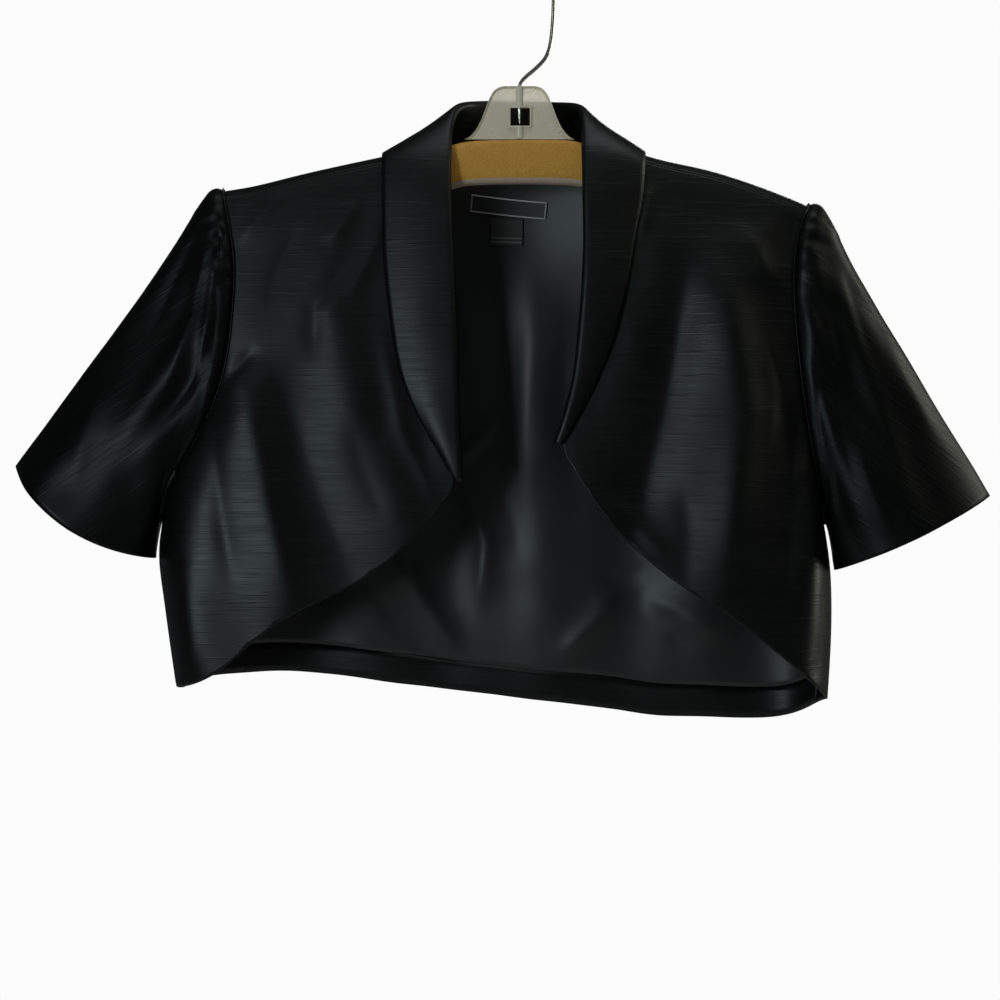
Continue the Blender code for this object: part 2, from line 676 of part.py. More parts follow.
def sleeve_grid(row, loop):
    """Loft a sleeve from just outside its armhole to its hem, with its gathered head and its folds."""
    side, outer_x, outer_z, inner_x, inner_z, front_sag, back_sag, depth = row
    folds = [laid_flat(fold) for fold in (RIGHT_SLEEVE_FOLDS if side < 0 else LEFT_SLEEVE_FOLDS)]
    start = []
    for (point, way), (after, after_way) in zip(loop, loop[1:] + loop[:1]):
        start.append((point, way))
        if (after - point).length > LONG_STEP and point.z > HEAD_BOTTOM:
            start.append((point.lerp(after, 0.5), way.lerp(after_way, 0.5)))
    crown = min(range(len(start)), key=lambda k: abs(start[k][0].y) - start[k][0].z)
    start = start[crown:] + start[:crown]
    underarm = min(range(len(start)), key=lambda k: start[k][0].z)
    angles = arm_angles([point for point, _ in start], underarm)
    centre = Vector(((outer_x + inner_x) / 2, 0, (outer_z + inner_z) / 2))
    reach = Vector((outer_x - inner_x, 0, outer_z - inner_z)) / 2
    length = Vector((reach.z, 0, -reach.x)) * side
    length.normalize()
    grid = []
    for share in SLEEVE_SHARES:
        ring = []
        for (first, away), angle in zip(start, angles):
            degrees = math.degrees(angle if angle <= math.pi else angle - 2 * math.pi)
            way = reach.normalized() * math.cos(angle) + Vector((0, -math.sin(angle), 0))
            sag = (front_sag if degrees > 0 else back_sag) * math.sin(angle) ** 2
            slim = 1 - CORNER_SLIMMING * max(0, math.cos(angle)) ** 2
            last = (centre + reach * math.cos(angle) + length * sag
                    + Vector((0, -depth * slim * math.sin(angle), 0)))
            crest = ease((125 - abs(degrees)) / 70)
            head = (share / HEAD_REACH) * math.exp(1 - share / HEAD_REACH)
            puff = HEAD_PUFF * head * (0.3 + 0.7 * crest)
            puff += GATHER_HEIGHT * head * crest * math.cos(angle * GATHERS)
            height = fold_height(folds, degrees * SLEEVE_GIRTH / 360, share * SLEEVE_LENGTH)
            calm_ends = ease(share / 0.1) * ease((170 - abs(degrees)) / 30)
            rise = SEAM_RISE * ease(share / HEAD_REACH) * (1 - share)
            ring.append(first.lerp(last, share) + away * rise + way * (puff + height * calm_ends))
        grid.append(ring)
    return grid


# The inside of the back. The lining starts this length of cloth behind the shoulder line
LINING_START = 21
LINING_FOLD_START = 60
LAYER_GAP = 0.4
LABEL_WALL = 0.8
LABEL_GAP = 1.2
# Columns: name, middle x and z, width, height, tilt in degrees
LABELS = [("neck_label", -8, -178, 57, 13, -5.5), ("size_tab", -9.5, -196.5, 25, 20, -1)]


def label_grid(x, z, width, height, tilt, depth):
    """A small tape on the inside of the back, in places that turn with it, moved in to lie on the lining."""
    turn = math.radians(tilt)
    grid = []
    for down in (0.5, 0, -0.5):
        row = []
        for k in range(7):
            over = (k / 6 - 0.5) * width
            px = x + over * math.cos(turn) - down * height * math.sin(turn)
            pz = z + over * math.sin(turn) + down * height * math.cos(turn)
            place = behind(px, pz)
            row.append(shell_point(*place) - outward(*place) * depth)
        grid.append(row)
    return grid


def build_inside(places, back, normals):
    """The lining, the hem facing and the labels, made from the back's own points moved inward."""
    ahead = Vector((0, -1, 0))
    last = len(back) - 2
    span = slice(1, -1)
    for name, rows, thickness, finish, seam in (
            ("back_lining", slice(0, last + 1), LINING, SATIN, "bottom"),
            ("hem_facing", slice(last, last + 2), TRIM, SHANTUNG, "top")):
        points = [row[span] for row in back[rows]]
        directions = [row[span] for row in normals[rows]]
        kept = [row[span] for row in places[rows]]
        grid = moved_in(points, directions, SHELL / 2 + LAYER_GAP + thickness / 2)
        if name == "back_lining":
            for v, row in enumerate(kept):
                for u, (x, wrap) in enumerate(row):
                    rise = fold_height(LINING_FOLDS, x, grid[v][u].z)
                    rise *= ease((-wrap - LINING_FOLD_START) / 30)
                    grid[v][u] = grid[v][u] - directions[v][u] * rise
        grid = parted(grid, directions, [(seam, 0, None)])
        cells = [(v, u) for v, u in all_cells(grid)
                 if max(kept[a][b][1] for a in (v, v + 1) for b in (u, u + 1)) < -LINING_START]
        wall(name, grid, directions, thickness, finish, cells=cells)
    depth = SHELL / 2 + LAYER_GAP + LINING + LABEL_GAP + LABEL_WALL / 2
    for (name, *place), finish in zip(LABELS, (WOVEN, TAPE)):
        grid = label_grid(*place, depth)
        wall(name, grid, own_normals(grid, ahead), LABEL_WALL, finish)


def build_cloth():
    right, neck, left = collar_course()
    right_seam = [row[:2] for row in right][::-1]
    left_seam = [row[:2] for row in left]
    inside = back_places([row[:2] for row in neck])
    panels = {
        "front_right": as_points(front_places(-1, right_seam), shell_point),
        "front_left": as_points(front_places(1, left_seam), shell_point),
        "back": as_points(inside, shell_point),
        "collar": collar_grid(right[:-1] + neck + left[1:]),
    }
    ahead, rear = Vector((0, -1, 0)), Vector((0, 1, 0))
    looks = {"front_right": ahead, "front_left": ahead, "back": rear}
    surfaces = [(panels[name], quad_sign(panels[name], look)) for name, look in looks.items()]
    collar = panels["collar"]
    start = (collar[2][1] - collar[1][1]).cross(collar[1][1] - collar[1][0])
    surfaces.append((collar, 1 if start.y > 0 else -1))
    shared = gather_normals(surfaces)
    normals = {name: normal_grid(grid, shared) for name, grid in panels.items()}
    over = ARMHOLE_ROWS + OVER_SHOULDER_ROWS
    seams = {
        "front_right": [("top", 0, None), ("right", 0, None), ("left", ARMHOLE_ROWS, None)],
        "front_left": [("top", 0, None), ("right", 0, None), ("left", ARMHOLE_ROWS, None)],
        "back": [("top", 0, None), ("left", over, None), ("right", over, None)],
        "collar": [("left", 0, None)],
    }
    for name, grid in panels.items():
        thickness = COLLAR if name == "collar" else SHELL
        wall(name, parted(grid, normals[name], seams[name]), normals[name], thickness, SHANTUNG)
    build_inside(inside, panels["back"], normals["back"])
    lift = SHELL / 2 + SEAM_GAP + SLEEVE / 2
    for row, name in zip(SLEEVE_HEMS, ("right", "left")):
        panel = panels[f"front_{name}"]
        edge = 0 if name == "right" else -1
        loop = [panel[v][0] for v in range(ARMHOLE_ROWS + 1)]
        loop += [panels["back"][v][edge] for v in range(over - 1, 0, -1)]
        ways = [shared[key_of(point)] for point in loop]
        grid = sleeve_grid(row, [(point + way * lift, way) for point, way in zip(loop, ways)])
        wall(f"sleeve_{name}", grid, own_normals(grid, ahead, ring=True), SLEEVE, SHANTUNG, ring=True)


# The hanger: a padded arm under the shoulders, a bell-shaped neck plate and a wire hook
COVER_HALF = 10
COVER_HEIGHT = 32.6
COVER_TIP_HEIGHT = 24
COVER_REACH = (-212, 206)
COVER_SECTIONS = 30
NECK_HALF = 41
NECK_FOOT_Z = -131.5
ARM_START = 61
COVER_CLEARANCE = 2.1
# Half of the neck plate's outline. Columns: x, z
NECK_PLATE = [
    (0, -92), (11, -92), (16.5, -93.6), (20.4, -97.6), (23, -103), (26, -111), (29.5, -119.5),
    (33.5, -126), (38, -130.2), (41, -131.5),
]
PLATE_THICKNESS = 5
TUBE_RADIUS = 4.2
BORE_RADIUS = 2.1
WINDOW = (0.5, -114.7, 14.4, 13.4)
WINDOW_FRAME = 1.3
WIRE_RADIUS = 1.6
HOOK_RADIUS = 25.5
HOOK_END_DEGREES = 182
# The hook's rise from the neck to its round top. Columns: x, z
HOOK_RISE = [(0, -121), (0, -112), (0, -100), (0, -92), (1, -89), (4.4, -85.2), (9.5, -81), (15, -76),
             (19.3, -71), (22, -64.5), (23.6, -56), (24.9, -42)]


def cover_top(x):
    size = abs(x)
    arm = ridge(x) - COVER_CLEARANCE
    foot = NECK_FOOT_Z - SEAM_GAP
    if size <= NECK_HALF:
        return foot
    share = min(1.0, (size - NECK_HALF) / (ARM_START - NECK_HALF)) ** 0.7
    return foot + (arm - foot) * share


def build_cover():
    bm = bmesh.new()
    rings = []
    first, last = COVER_REACH
    for k in range(COVER_SECTIONS + 1):
        x = first + (last - first) * k / COVER_SECTIONS
        tip = ease(min(x - first, last - x) / 14)
        shrink = 0.55 + 0.45 * tip
        spread = ease((abs(x) - NECK_HALF + 8) / 40)
        half = COVER_HALF * shrink
        crown = (3.5 + (COVER_HALF - 3.5) * spread) * shrink
        slim = ease((abs(x) - 90) / 110)
        top = cover_top(x) - (1 - shrink) * COVER_HALF
        bottom = top - (COVER_HEIGHT + (COVER_TIP_HEIGHT - COVER_HEIGHT) * slim) * shrink
        section = [(half * math.cos(math.pi * i / 8), top - crown + crown * math.sin(math.pi * i / 8))
                   for i in range(9)]
        section += [(-half, bottom + 3), (-half + 3, bottom), (half - 3, bottom), (half, bottom + 3)]
        rings.append([bm.verts.new((x, y, z)) for y, z in section])
    for a, b in zip(rings, rings[1:]):
        for i in range(len(a)):
            j = (i + 1) % len(a)
            bm.faces.new((a[i], a[j], b[j], b[i]))
    bm.faces.new(rings[0])
    bm.faces.new(rings[-1])
    add_object("hanger_cover", bm, FOAM)


def helper(name, bm, target, operation):
    """A hidden solid that is joined to or cut from the neck plate."""
    tool = add_object(name, bm, PLASTIC)
    tool.hide_render = True
    tool.display_type = "WIRE"
    change = target.modifiers.new(name, "BOOLEAN")
    change.operation = operation
    change.object = tool


def box_mesh(x, z, width, depth, height):
    bm = bmesh.new()
    bmesh.ops.create_cube(bm, size=1)
    bmesh.ops.scale(bm, vec=(width, depth, height), verts=bm.verts)
    bmesh.ops.translate(bm, vec=(x, 0, z), verts=bm.verts)
    return bm


def rod_mesh(radius, top, bottom, sides):
    bm = bmesh.new()
    bmesh.ops.create_cone(bm, cap_ends=True, segments=sides, radius1=radius, radius2=radius,
                          depth=top - bottom)
    bmesh.ops.translate(bm, vec=(0, 0, (top + bottom) / 2), verts=bm.verts)
    return bm


def build_neck():
    bm = bmesh.new()
    outline_points = [(x, z) for x, z in NECK_PLATE] + [(-x, z) for x, z in NECK_PLATE[:0:-1]]
    corners = [bm.verts.new((x, -PLATE_THICKNESS / 2, z)) for x, z in outline_points]
    face = bm.faces.new(corners)
    grown = bmesh.ops.extrude_face_region(bm, geom=[face])
    moved = [item for item in grown["geom"] if isinstance(item, bmesh.types.BMVert)]
    bmesh.ops.translate(bm, vec=(0, PLATE_THICKNESS, 0), verts=moved)
    plate = add_object("hanger_neck", bm, PLASTIC)
    x, z, width, height = WINDOW
    frame = box_mesh(x, z, width + 2 * WINDOW_FRAME, PLATE_THICKNESS + 1.6, height + 2 * WINDOW_FRAME)
    helper("window_frame", frame, plate, "UNION")
    helper("hook_tube", rod_mesh(TUBE_RADIUS, -92.4, -130.5, 16), plate, "UNION")
    helper("window_hole", box_mesh(x, z, width, 20, height), plate, "DIFFERENCE")
    helper("hook_bore", rod_mesh(BORE_RADIUS, -90, z, 12), plate, "DIFFERENCE")


def build_hook():
    centre = WIRE_RADIUS - HOOK_RADIUS
    turns = [math.radians(HOOK_END_DEGREES) * k / 22 for k in range(23)]
    arc = [(HOOK_RADIUS * math.cos(a), centre + HOOK_RADIUS * math.sin(a)) for a in turns]
    places = resample(whole(HOOK_RISE), 20) + arc
    curve = bpy.data.curves.new("hanger_hook", "CURVE")
    curve.dimensions = "3D"
    curve.bevel_depth = WIRE_RADIUS * MM
    curve.bevel_resolution = 2
    curve.use_fill_caps = True
    spline = curve.splines.new("POLY")
    spline.points.add(len(places) - 1)
    for point, (x, z) in zip(spline.points, places):
        point.co = (x * MM, 0, z * MM, 1)
    curve.materials.append(STEEL)
    hook = bpy.data.objects.new("hanger_hook", curve)
    bpy.context.collection.objects.link(hook)


build_cloth()
build_cover()
build_neck()
build_hook()
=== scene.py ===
# %% [markdown]
# A cropped bolero jacket in black slubbed silk hangs open on its hanger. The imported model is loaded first
# and stays where it is. Each cloth piece is then dressed on the form of its own solid, so that seams,
# openings and sizes stay true.

# %% Load the frame
import json
import math
import bmesh
import bpy
import numpy as np
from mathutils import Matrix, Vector, noise
from mathutils.bvhtree import BVHTree

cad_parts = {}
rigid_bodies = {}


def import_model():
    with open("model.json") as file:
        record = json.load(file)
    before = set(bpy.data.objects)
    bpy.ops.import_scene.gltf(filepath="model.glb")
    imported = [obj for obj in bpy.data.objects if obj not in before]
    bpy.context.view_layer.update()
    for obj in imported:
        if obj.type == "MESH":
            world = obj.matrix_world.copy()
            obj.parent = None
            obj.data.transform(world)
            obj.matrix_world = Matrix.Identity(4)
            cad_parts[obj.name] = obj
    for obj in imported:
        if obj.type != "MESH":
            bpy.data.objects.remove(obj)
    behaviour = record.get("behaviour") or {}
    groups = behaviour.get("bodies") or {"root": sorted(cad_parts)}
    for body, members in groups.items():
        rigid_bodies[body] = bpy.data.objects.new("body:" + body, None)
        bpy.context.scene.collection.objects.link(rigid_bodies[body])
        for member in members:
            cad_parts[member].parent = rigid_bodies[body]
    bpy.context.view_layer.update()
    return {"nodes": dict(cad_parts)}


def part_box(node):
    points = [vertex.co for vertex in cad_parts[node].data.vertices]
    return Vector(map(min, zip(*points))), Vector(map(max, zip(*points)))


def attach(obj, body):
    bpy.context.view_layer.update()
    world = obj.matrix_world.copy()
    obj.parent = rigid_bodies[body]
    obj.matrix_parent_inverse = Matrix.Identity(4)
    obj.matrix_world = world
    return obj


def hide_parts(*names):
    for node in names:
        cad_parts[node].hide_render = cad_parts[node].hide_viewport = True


for old in list(bpy.data.objects):
    bpy.data.objects.remove(old, do_unlink=True)
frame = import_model()
MM = 0.001

# %% [markdown]
# The photograph looks straight at the jacket from about two metres. A long lens that far away keeps the
# near and the far cloth almost the same size, as they are there.

# %% Place the camera
CAMERA_X = -0.0144
CAMERA_Z = -0.3981
CAMERA_DISTANCE = 2.0
FIELD_WIDTH = 0.74
SENSOR_WIDTH = 36

camera_data = bpy.data.cameras.new("view")
camera_data.sensor_width = SENSOR_WIDTH
camera_data.lens = SENSOR_WIDTH * CAMERA_DISTANCE / FIELD_WIDTH
camera = bpy.data.objects.new("view", camera_data)
camera.location = (CAMERA_X, -CAMERA_DISTANCE, CAMERA_Z)
camera.rotation_euler = (math.pi / 2, 0, 0)
bpy.context.scene.collection.objects.link(camera)
bpy.context.scene.camera = camera
print("lens", round(camera_data.lens, 1), "mm")

# %% [markdown]
# Black satin-like cloth shows its form only by what it reflects, so each light stands where the folds
# mirror it. A tall soft light at the front left draws the flanks of the folds that turn to it. A larger
# one at the right, a little behind, edges the far side. A small warm lamp, one light overhead and one
# behind fill the rest.

# %% Set the lights
# Columns: name, place, size, power, colour
LIGHTS = [
    ("left_window", (-1.15, -1.9, -0.25), (0.4, 0.9), 16, (0.8, 0.97, 1.0)),
    ("right_window", (2.0, 0.4, 0.15), (0.8, 1.4), 19, (1.0, 1.0, 0.84)),
    ("lamp", (1.7, -0.9, 1.0), (0.4, 0.4), 2, (1.0, 0.97, 0.78)),
    ("top_window", (0.2, -0.5, 1.4), (1.4, 0.8), 10, (0.95, 0.98, 1.0)),
    ("back_window", (0.5, 2.3, 0.3), (1.2, 1.2), 26, (1.0, 1.0, 1.0)),
]
AIM = Vector((0, 0, -0.35))


def add_light(name, place, size, power, colour):
    """A soft rectangle of light that looks at the jacket and isn't seen itself."""
    data = bpy.data.lights.new(name, "AREA")
    data.shape = "RECTANGLE"
    data.size, data.size_y = size
    data.energy = power
    data.color = colour
    light = bpy.data.objects.new(name, data)
    light.location = place
    light.rotation_euler = (AIM - Vector(place)).to_track_quat("-Z", "Y").to_euler()
    light.visible_camera = False
    bpy.context.scene.collection.objects.link(light)


for row in LIGHTS:
    add_light(*row)
print(len(LIGHTS), "lights")

# %% [markdown]
# A bright room would be the simple way to a white background, but it would turn the black silk grey. So
# the world is pale where it is looked at and dark where it lights the cloth.

# %% Set the world
BACKDROP = (0.97, 0.97, 0.97, 1)
ROOM_LIGHT = (0.9, 0.95, 1.0, 1)
ROOM_STRENGTH = 0.05

world = bpy.data.worlds.new("room")
bpy.context.scene.world = world
world.use_nodes = True
tree = world.node_tree
seen = tree.nodes.new("ShaderNodeBackground")
seen.inputs["Color"].default_value = BACKDROP
dim = tree.nodes["Background"]
dim.inputs["Color"].default_value = ROOM_LIGHT
dim.inputs["Strength"].default_value = ROOM_STRENGTH
path = tree.nodes.new("ShaderNodeLightPath")
mix = tree.nodes.new("ShaderNodeMixShader")
tree.links.new(path.outputs["Is Camera Ray"], mix.inputs[0])
tree.links.new(dim.outputs[0], mix.inputs[1])
tree.links.new(seen.outputs[0], mix.inputs[2])
tree.links.new(mix.outputs[0], tree.nodes["World Output"].inputs["Surface"])
bpy.context.scene.view_settings.view_transform = "Standard"
print("world", world.name)

# %% [markdown]
# Every finish starts from one helper, which makes a shader with its constant values set on its own
# sockets. Patterns are added after it, node by node. A pattern is a noise that is squeezed along some
# directions, so each one starts with the place on the cloth, turned and scaled.

# %% Helpers for materials
# Most of a noise lies between these two values
MOST = (0.3, 0.7)


class Finish:
    """A material with short ways to add nodes to it."""

    def __init__(self, name, colour, roughness, **values):
        self.material = bpy.data.materials.new(name)
        self.material.use_nodes = True
        self.tree = self.material.node_tree
        self.shader = self.tree.nodes["Principled BSDF"]
        self.shader.inputs["Base Color"].default_value = (*colour, 1)
        self.shader.inputs["Roughness"].default_value = roughness
        for key, value in values.items():
            self.shader.inputs[key.replace("_", " ")].default_value = value

    def node(self, kind, links=(), **values):
        made = self.tree.nodes.new("ShaderNode" + kind)
        for key, value in values.items():
            setattr(made, key, value)
        for socket, source in links:
            self.tree.links.new(source, made.inputs[socket])
        return made

    def place(self, scale, turn=0.0):
        """Coordinates in metres, turned about Y and then stretched."""
        turned = self.node("Mapping", [("Vector", self.node("TexCoord").outputs["Object"])])
        turned.inputs["Rotation"].default_value = (0, turn, 0)
        made = self.node("Mapping", [("Vector", turned.outputs[0])])
        made.inputs["Scale"].default_value = scale
        return made.outputs[0]

    def noise(self, where, detail, roughness=0.5):
        made = self.node("TexNoise", [("Vector", where)])
        made.inputs["Scale"].default_value = 1
        made.inputs["Detail"].default_value = detail
        made.inputs["Roughness"].default_value = roughness
        return made.outputs["Fac"]

    def ramp(self, value, low, high, start=0.0, end=1.0):
        """Spread a value from low..high to start..end."""
        made = self.node("MapRange", [("Value", value)])
        for key, number in (("From Min", low), ("From Max", high), ("To Min", start), ("To Max", end)):
            made.inputs[key].default_value = number
        return made.outputs[0]

    def add(self, first, second, weight):
        made = self.node("Math", [(0, second), (2, first)], operation="MULTIPLY_ADD")
        made.inputs[1].default_value = weight
        return made.outputs[0]

    def blend(self, share, first, second):
        made = self.node("Mix", [("Factor", share)], data_type="RGBA")
        made.inputs["A"].default_value = (*first, 1)
        made.inputs["B"].default_value = (*second, 1)
        return made.outputs["Result"]

    def bump(self, height, distance, strength):
        made = self.node("Bump", [("Height", height)])
        made.inputs["Distance"].default_value = distance
        made.inputs["Strength"].default_value = strength
        self.wire("Normal", made.outputs[0])

    def wire(self, socket, value):
        self.tree.links.new(value, self.shader.inputs[socket])


# %% [markdown]
# Shantung is woven with uneven weft yarns. Thick places in them, the slubs, show as short raised lines
# that all run along the weft. Two stretched noises make it: one close and fine for the ribs, one sparse
# for the slubs. The sleeves are cut on their own grain, so their weft turns with them. Their silk is also
# given less sheen than the body's, which is painted shade that darkens the sleeves.

# %% Shantung
# Widths in metres of a rib and a slub, and how often each changes in a metre of weft
RIB = 0.0009
RIB_CHANGES = 18
SLUB = 0.0021
SLUB_CHANGES = 34
YARN_RELIEF = 0.00022
YARN_DARK = (0.0005, 0.0006, 0.0006)
YARN_PALE = (0.0018, 0.0021, 0.002)
# Columns: how far the weft is turned, in radians, and sheen, set lower on the sleeves as painted shade
WEAVES = {"body": (0.0, 0.27), "right_sleeve": (0.62, 0.15), "left_sleeve": (-0.62, 0.17)}


def shantung(name, turn, sheen):
    cloth = Finish(f"shantung_{name}", (0.003, 0.0035, 0.0035), 0.5, Specular_IOR_Level=sheen)
    rib = cloth.noise(cloth.place((RIB_CHANGES, RIB_CHANGES, 1 / RIB), turn), 2, 0.6)
    slub = cloth.noise(cloth.place((SLUB_CHANGES, SLUB_CHANGES, 1 / SLUB), turn), 1, 0.4)
    slub = cloth.ramp(slub, 0.58, 0.74)
    cloud = cloth.noise(cloth.place((9, 9, 14), turn), 3, 0.55)
    cloth.bump(cloth.add(rib, slub, 1.8), YARN_RELIEF, 0.24)
    tone = cloth.add(cloth.ramp(rib, *MOST, 0.15, 0.6), slub, 0.4)
    cloth.wire("Base Color", cloth.blend(tone, YARN_DARK, YARN_PALE))
    rough = cloth.add(cloth.ramp(cloud, *MOST, 0.41, 0.48), cloth.ramp(rib, *MOST, -0.04, 0.05), 1.0)
    cloth.wire("Roughness", rough)
    return cloth.material


SHANTUNG = {name: shantung(name, *weave) for name, weave in WEAVES.items()}
print("shantung for", *SHANTUNG)

# %% [markdown]
# The lining is satin. Its face is smooth, with a fine slanted grain where the warp floats over the weft,
# and it is a little paler than the silk. One stretched noise, turned to that slant, is enough.

# %% Lining satin
SATIN_GRAIN = (900, 300, 2400)
SATIN_SLANT = 0.6
SATIN_RELIEF = 0.00006
SATIN_DARK = (0.013, 0.013, 0.0135)
SATIN_PALE = (0.021, 0.021, 0.022)


def satin():
    cloth = Finish("lining_satin", (0.006, 0.006, 0.0066), 0.5, Specular_IOR_Level=0.36)
    twill = cloth.noise(cloth.place(SATIN_GRAIN, SATIN_SLANT), 1)
    cloud = cloth.noise(cloth.place((11, 11, 8)), 3)
    cloth.bump(twill, SATIN_RELIEF, 0.4)
    cloth.wire("Roughness", cloth.ramp(cloud, *MOST, 0.42, 0.5))
    cloth.wire("Base Color", cloth.blend(cloud, SATIN_DARK, SATIN_PALE))
    return cloth.material


SATIN = satin()
print("lining", SATIN.name)

# %% [markdown]
# A cloth solid is a wall with two faces. A cloth simulation could drape new sheets, but they would not
# keep to the seams. So one face of each wall is lifted off as an open sheet, rounded with a subdivision
# surface, creased, and given back its thickness at the end. The sheet keeps the cut and the
# drape of its solid.

# %% Copy and round a solid
WELD = 0.02 * MM
# Triangles join where they are this flat to each other, in degrees, on cloth and on the hanger
CLOTH_FLAT = 40
HANGER_FLAT = 30
QUAD_SKEW = 50


def new_object(name, bm, finish=None):
    """Turn a mesh in metres into a smooth object."""
    mesh = bpy.data.meshes.new(name)
    bm.to_mesh(mesh)
    bm.free()
    mesh.shade_smooth()
    piece = bpy.data.objects.new(name, mesh)
    bpy.context.scene.collection.objects.link(piece)
    if finish:
        mesh.materials.append(finish)
    return piece


def settle(piece):
    """Apply the modifiers of a piece."""
    graph = bpy.context.evaluated_depsgraph_get()
    mesh = bpy.data.meshes.new_from_object(piece.evaluated_get(graph))
    piece.modifiers.clear()
    piece.data = mesh
    mesh.name = piece.name


def solid_copy(node, flat):
    """The mesh of a solid, with its loose triangles merged and joined into quads."""
    bm = bmesh.new()
    bm.from_mesh(frame["nodes"][node].data)
    bmesh.ops.remove_doubles(bm, verts=bm.verts, dist=WELD)
    bmesh.ops.join_triangles(bm, faces=bm.faces, angle_face_threshold=math.radians(flat),
                             angle_shape_threshold=math.radians(QUAD_SKEW))
    return bm


def round_off(piece, rounds, corners="ALL"):
    smooth = piece.modifiers.new("round", "SUBSURF")
    smooth.levels = smooth.render_levels = rounds
    smooth.boundary_smooth = corners
    settle(piece)


print("solids", *frame["nodes"])

# %% [markdown]
# The sheet is found by cutting the wall open along its rims, which are its only sharp edges. The two
# largest patches are then the face that looks out of the jacket, or of a sleeve, and the one that looks
# in. The wall is given back inward from the face that shows, and its inner side may be lined.

# %% Lift a cloth sheet off its solid
RIM_ANGLE = math.radians(66)


def islands(bm):
    """Groups of faces that hang together."""
    left = set(bm.faces)
    groups = []
    while left:
        todo = [left.pop()]
        group = []
        while todo:
            face = todo.pop()
            group.append(face)
            for edge in face.edges:
                for other in edge.link_faces:
                    if other in left:
                        left.remove(other)
                        todo.append(other)
        groups.append(group)
    return groups


def sheet_of(node, name, rounds, side=1):
    """The outer (1) or inner (-1) face of a cloth solid as an open, rounded sheet."""
    bm = solid_copy(node, CLOTH_FLAT)
    low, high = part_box(node)
    middle = Vector(((low.x + high.x) / 2 if "sleeve" in node else 0, 0, (low.z + high.z) / 2))
    rims = [edge for edge in bm.edges if len(edge.link_faces) == 2
            and edge.calc_face_angle() > RIM_ANGLE]
    bmesh.ops.split_edges(bm, edges=rims)
    groups = sorted(islands(bm), key=lambda group: -sum(face.calc_area() for face in group))[:2]
    outward = [sum(face.normal.dot(face.calc_center_median() - middle) * face.calc_area()
                   for face in group) for group in groups]
    kept = set(groups[0] if (outward[0] - outward[1]) * side > 0 else groups[1])
    bmesh.ops.delete(bm, geom=[face for face in bm.faces if face not in kept], context="FACES")
    sides = [len(face.verts) for face in bm.faces]
    print(name, len(sides), "faces,", sides.count(3), "of them three-sided")
    piece = new_object(name, bm)
    round_off(piece, rounds, "PRESERVE_CORNERS")
    return piece


def thicken(piece, thickness, finish, inside=None):
    """Give a finished sheet its wall, inward from the face that shows."""
    bm = bmesh.new()
    bm.from_mesh(piece.data)
    print(piece.name, "sheet of", round(sum(face.calc_area() for face in bm.faces), 4), "square metres")
    bm.free()
    wall = piece.modifiers.new("wall", "SOLIDIFY")
    wall.thickness = thickness
    wall.offset = -1
    piece.data.materials.clear()
    piece.data.materials.append(finish)
    if inside:
        piece.data.materials.append(inside)
        wall.material_offset = 1


# %% [markdown]
# Creases are soft: each is a line of three points with a height and a half width, highest in its middle
# and gone at its ends. Uneven lengths and distances keep them from looking like a pattern. They could be
# sculpted by hand, but a short table can be read and changed.

# %% The height of a crease
# A crease rises over its first third and falls over its last
CREASE_ENDS = 3
# Its sides fall off a little steeper than those of a wave
CREASE_FALL = 1.6


def ease(value):
    """Bring a value into 0..1 with a soft start and end."""
    value = np.clip(value, 0, 1)
    return value * value * (3 - 2 * value)


def crease_heights(places, rows):
    """The sum of the creases at some places. Columns: start, middle and end, height, half width."""
    total = np.zeros(len(places))
    for x0, z0, x1, z1, x2, z2, height, width in rows:
        best = np.full(len(places), np.inf)
        share = np.zeros(len(places))
        for part, (a, b) in enumerate((((x0, z0), (x1, z1)), ((x1, z1), (x2, z2)))):
            a, b = np.array(a, float), np.array(b, float)
            way = b - a
            along = np.clip((places - a) @ way / (way @ way), 0, 1)
            away = np.linalg.norm(places - a - along[:, None] * way, axis=1)
            nearer = away < best
            best = np.where(nearer, away, best)
            share = np.where(nearer, (part + along) / 2, share)
        ends = ease(share * CREASE_ENDS) * ease((1 - share) * CREASE_ENDS)
        total += height * ends * np.exp(-(best / width) ** CREASE_FALL)
    return total


sample = crease_heights(np.array([[4.0, 50.0]]), [(0, 0, 0, 50, 0, 100, 2, 8)])
print("a crease 2 mm high is still", sample.round(2), "mm high 4 mm beside its line")

# %% [markdown]
# A sewn edge holds its cloth still, so everything that is pressed into a sheet fades out towards its
# seams. For that, each point of a sheet needs its distance from the nearest point of a seam.

# %% Points and seams of a sheet
# Rows of points compared at a time, to spare memory
BLOCK = 2000


def points_of(piece):
    """Places and outward directions of all points of a sheet."""
    mesh = piece.data
    places = np.empty(len(mesh.vertices) * 3)
    mesh.vertices.foreach_get("co", places)
    normals = np.empty(len(mesh.vertices) * 3)
    mesh.vertex_normals.foreach_get("vector", normals)
    return places.reshape(-1, 3), normals.reshape(-1, 3)


def move_points(piece, places):
    piece.data.vertices.foreach_set("co", places.ravel())
    piece.data.update()


def rim_points(piece, wanted):
    """The points of a sheet's open edges that are wanted."""
    bm = bmesh.new()
    bm.from_mesh(piece.data)
    rim = [tuple(vert.co) for vert in bm.verts if vert.is_boundary and wanted(vert.co)]
    bm.free()
    return np.array(rim)


def reach_from(piece, rim):
    """For each point of a sheet, how far the nearest of some rim points is, and which one it is."""
    places, _ = points_of(piece)
    away, which = np.empty(len(places)), np.empty(len(places), int)
    for start in range(0, len(places), BLOCK):
        block = places[start:start + BLOCK]
        squares = ((block[:, None, :] - rim[None, :, :]) ** 2).sum(axis=2)
        which[start:start + BLOCK] = squares.argmin(axis=1)
        away[start:start + BLOCK] = np.sqrt(squares.min(axis=1))
    return away, which


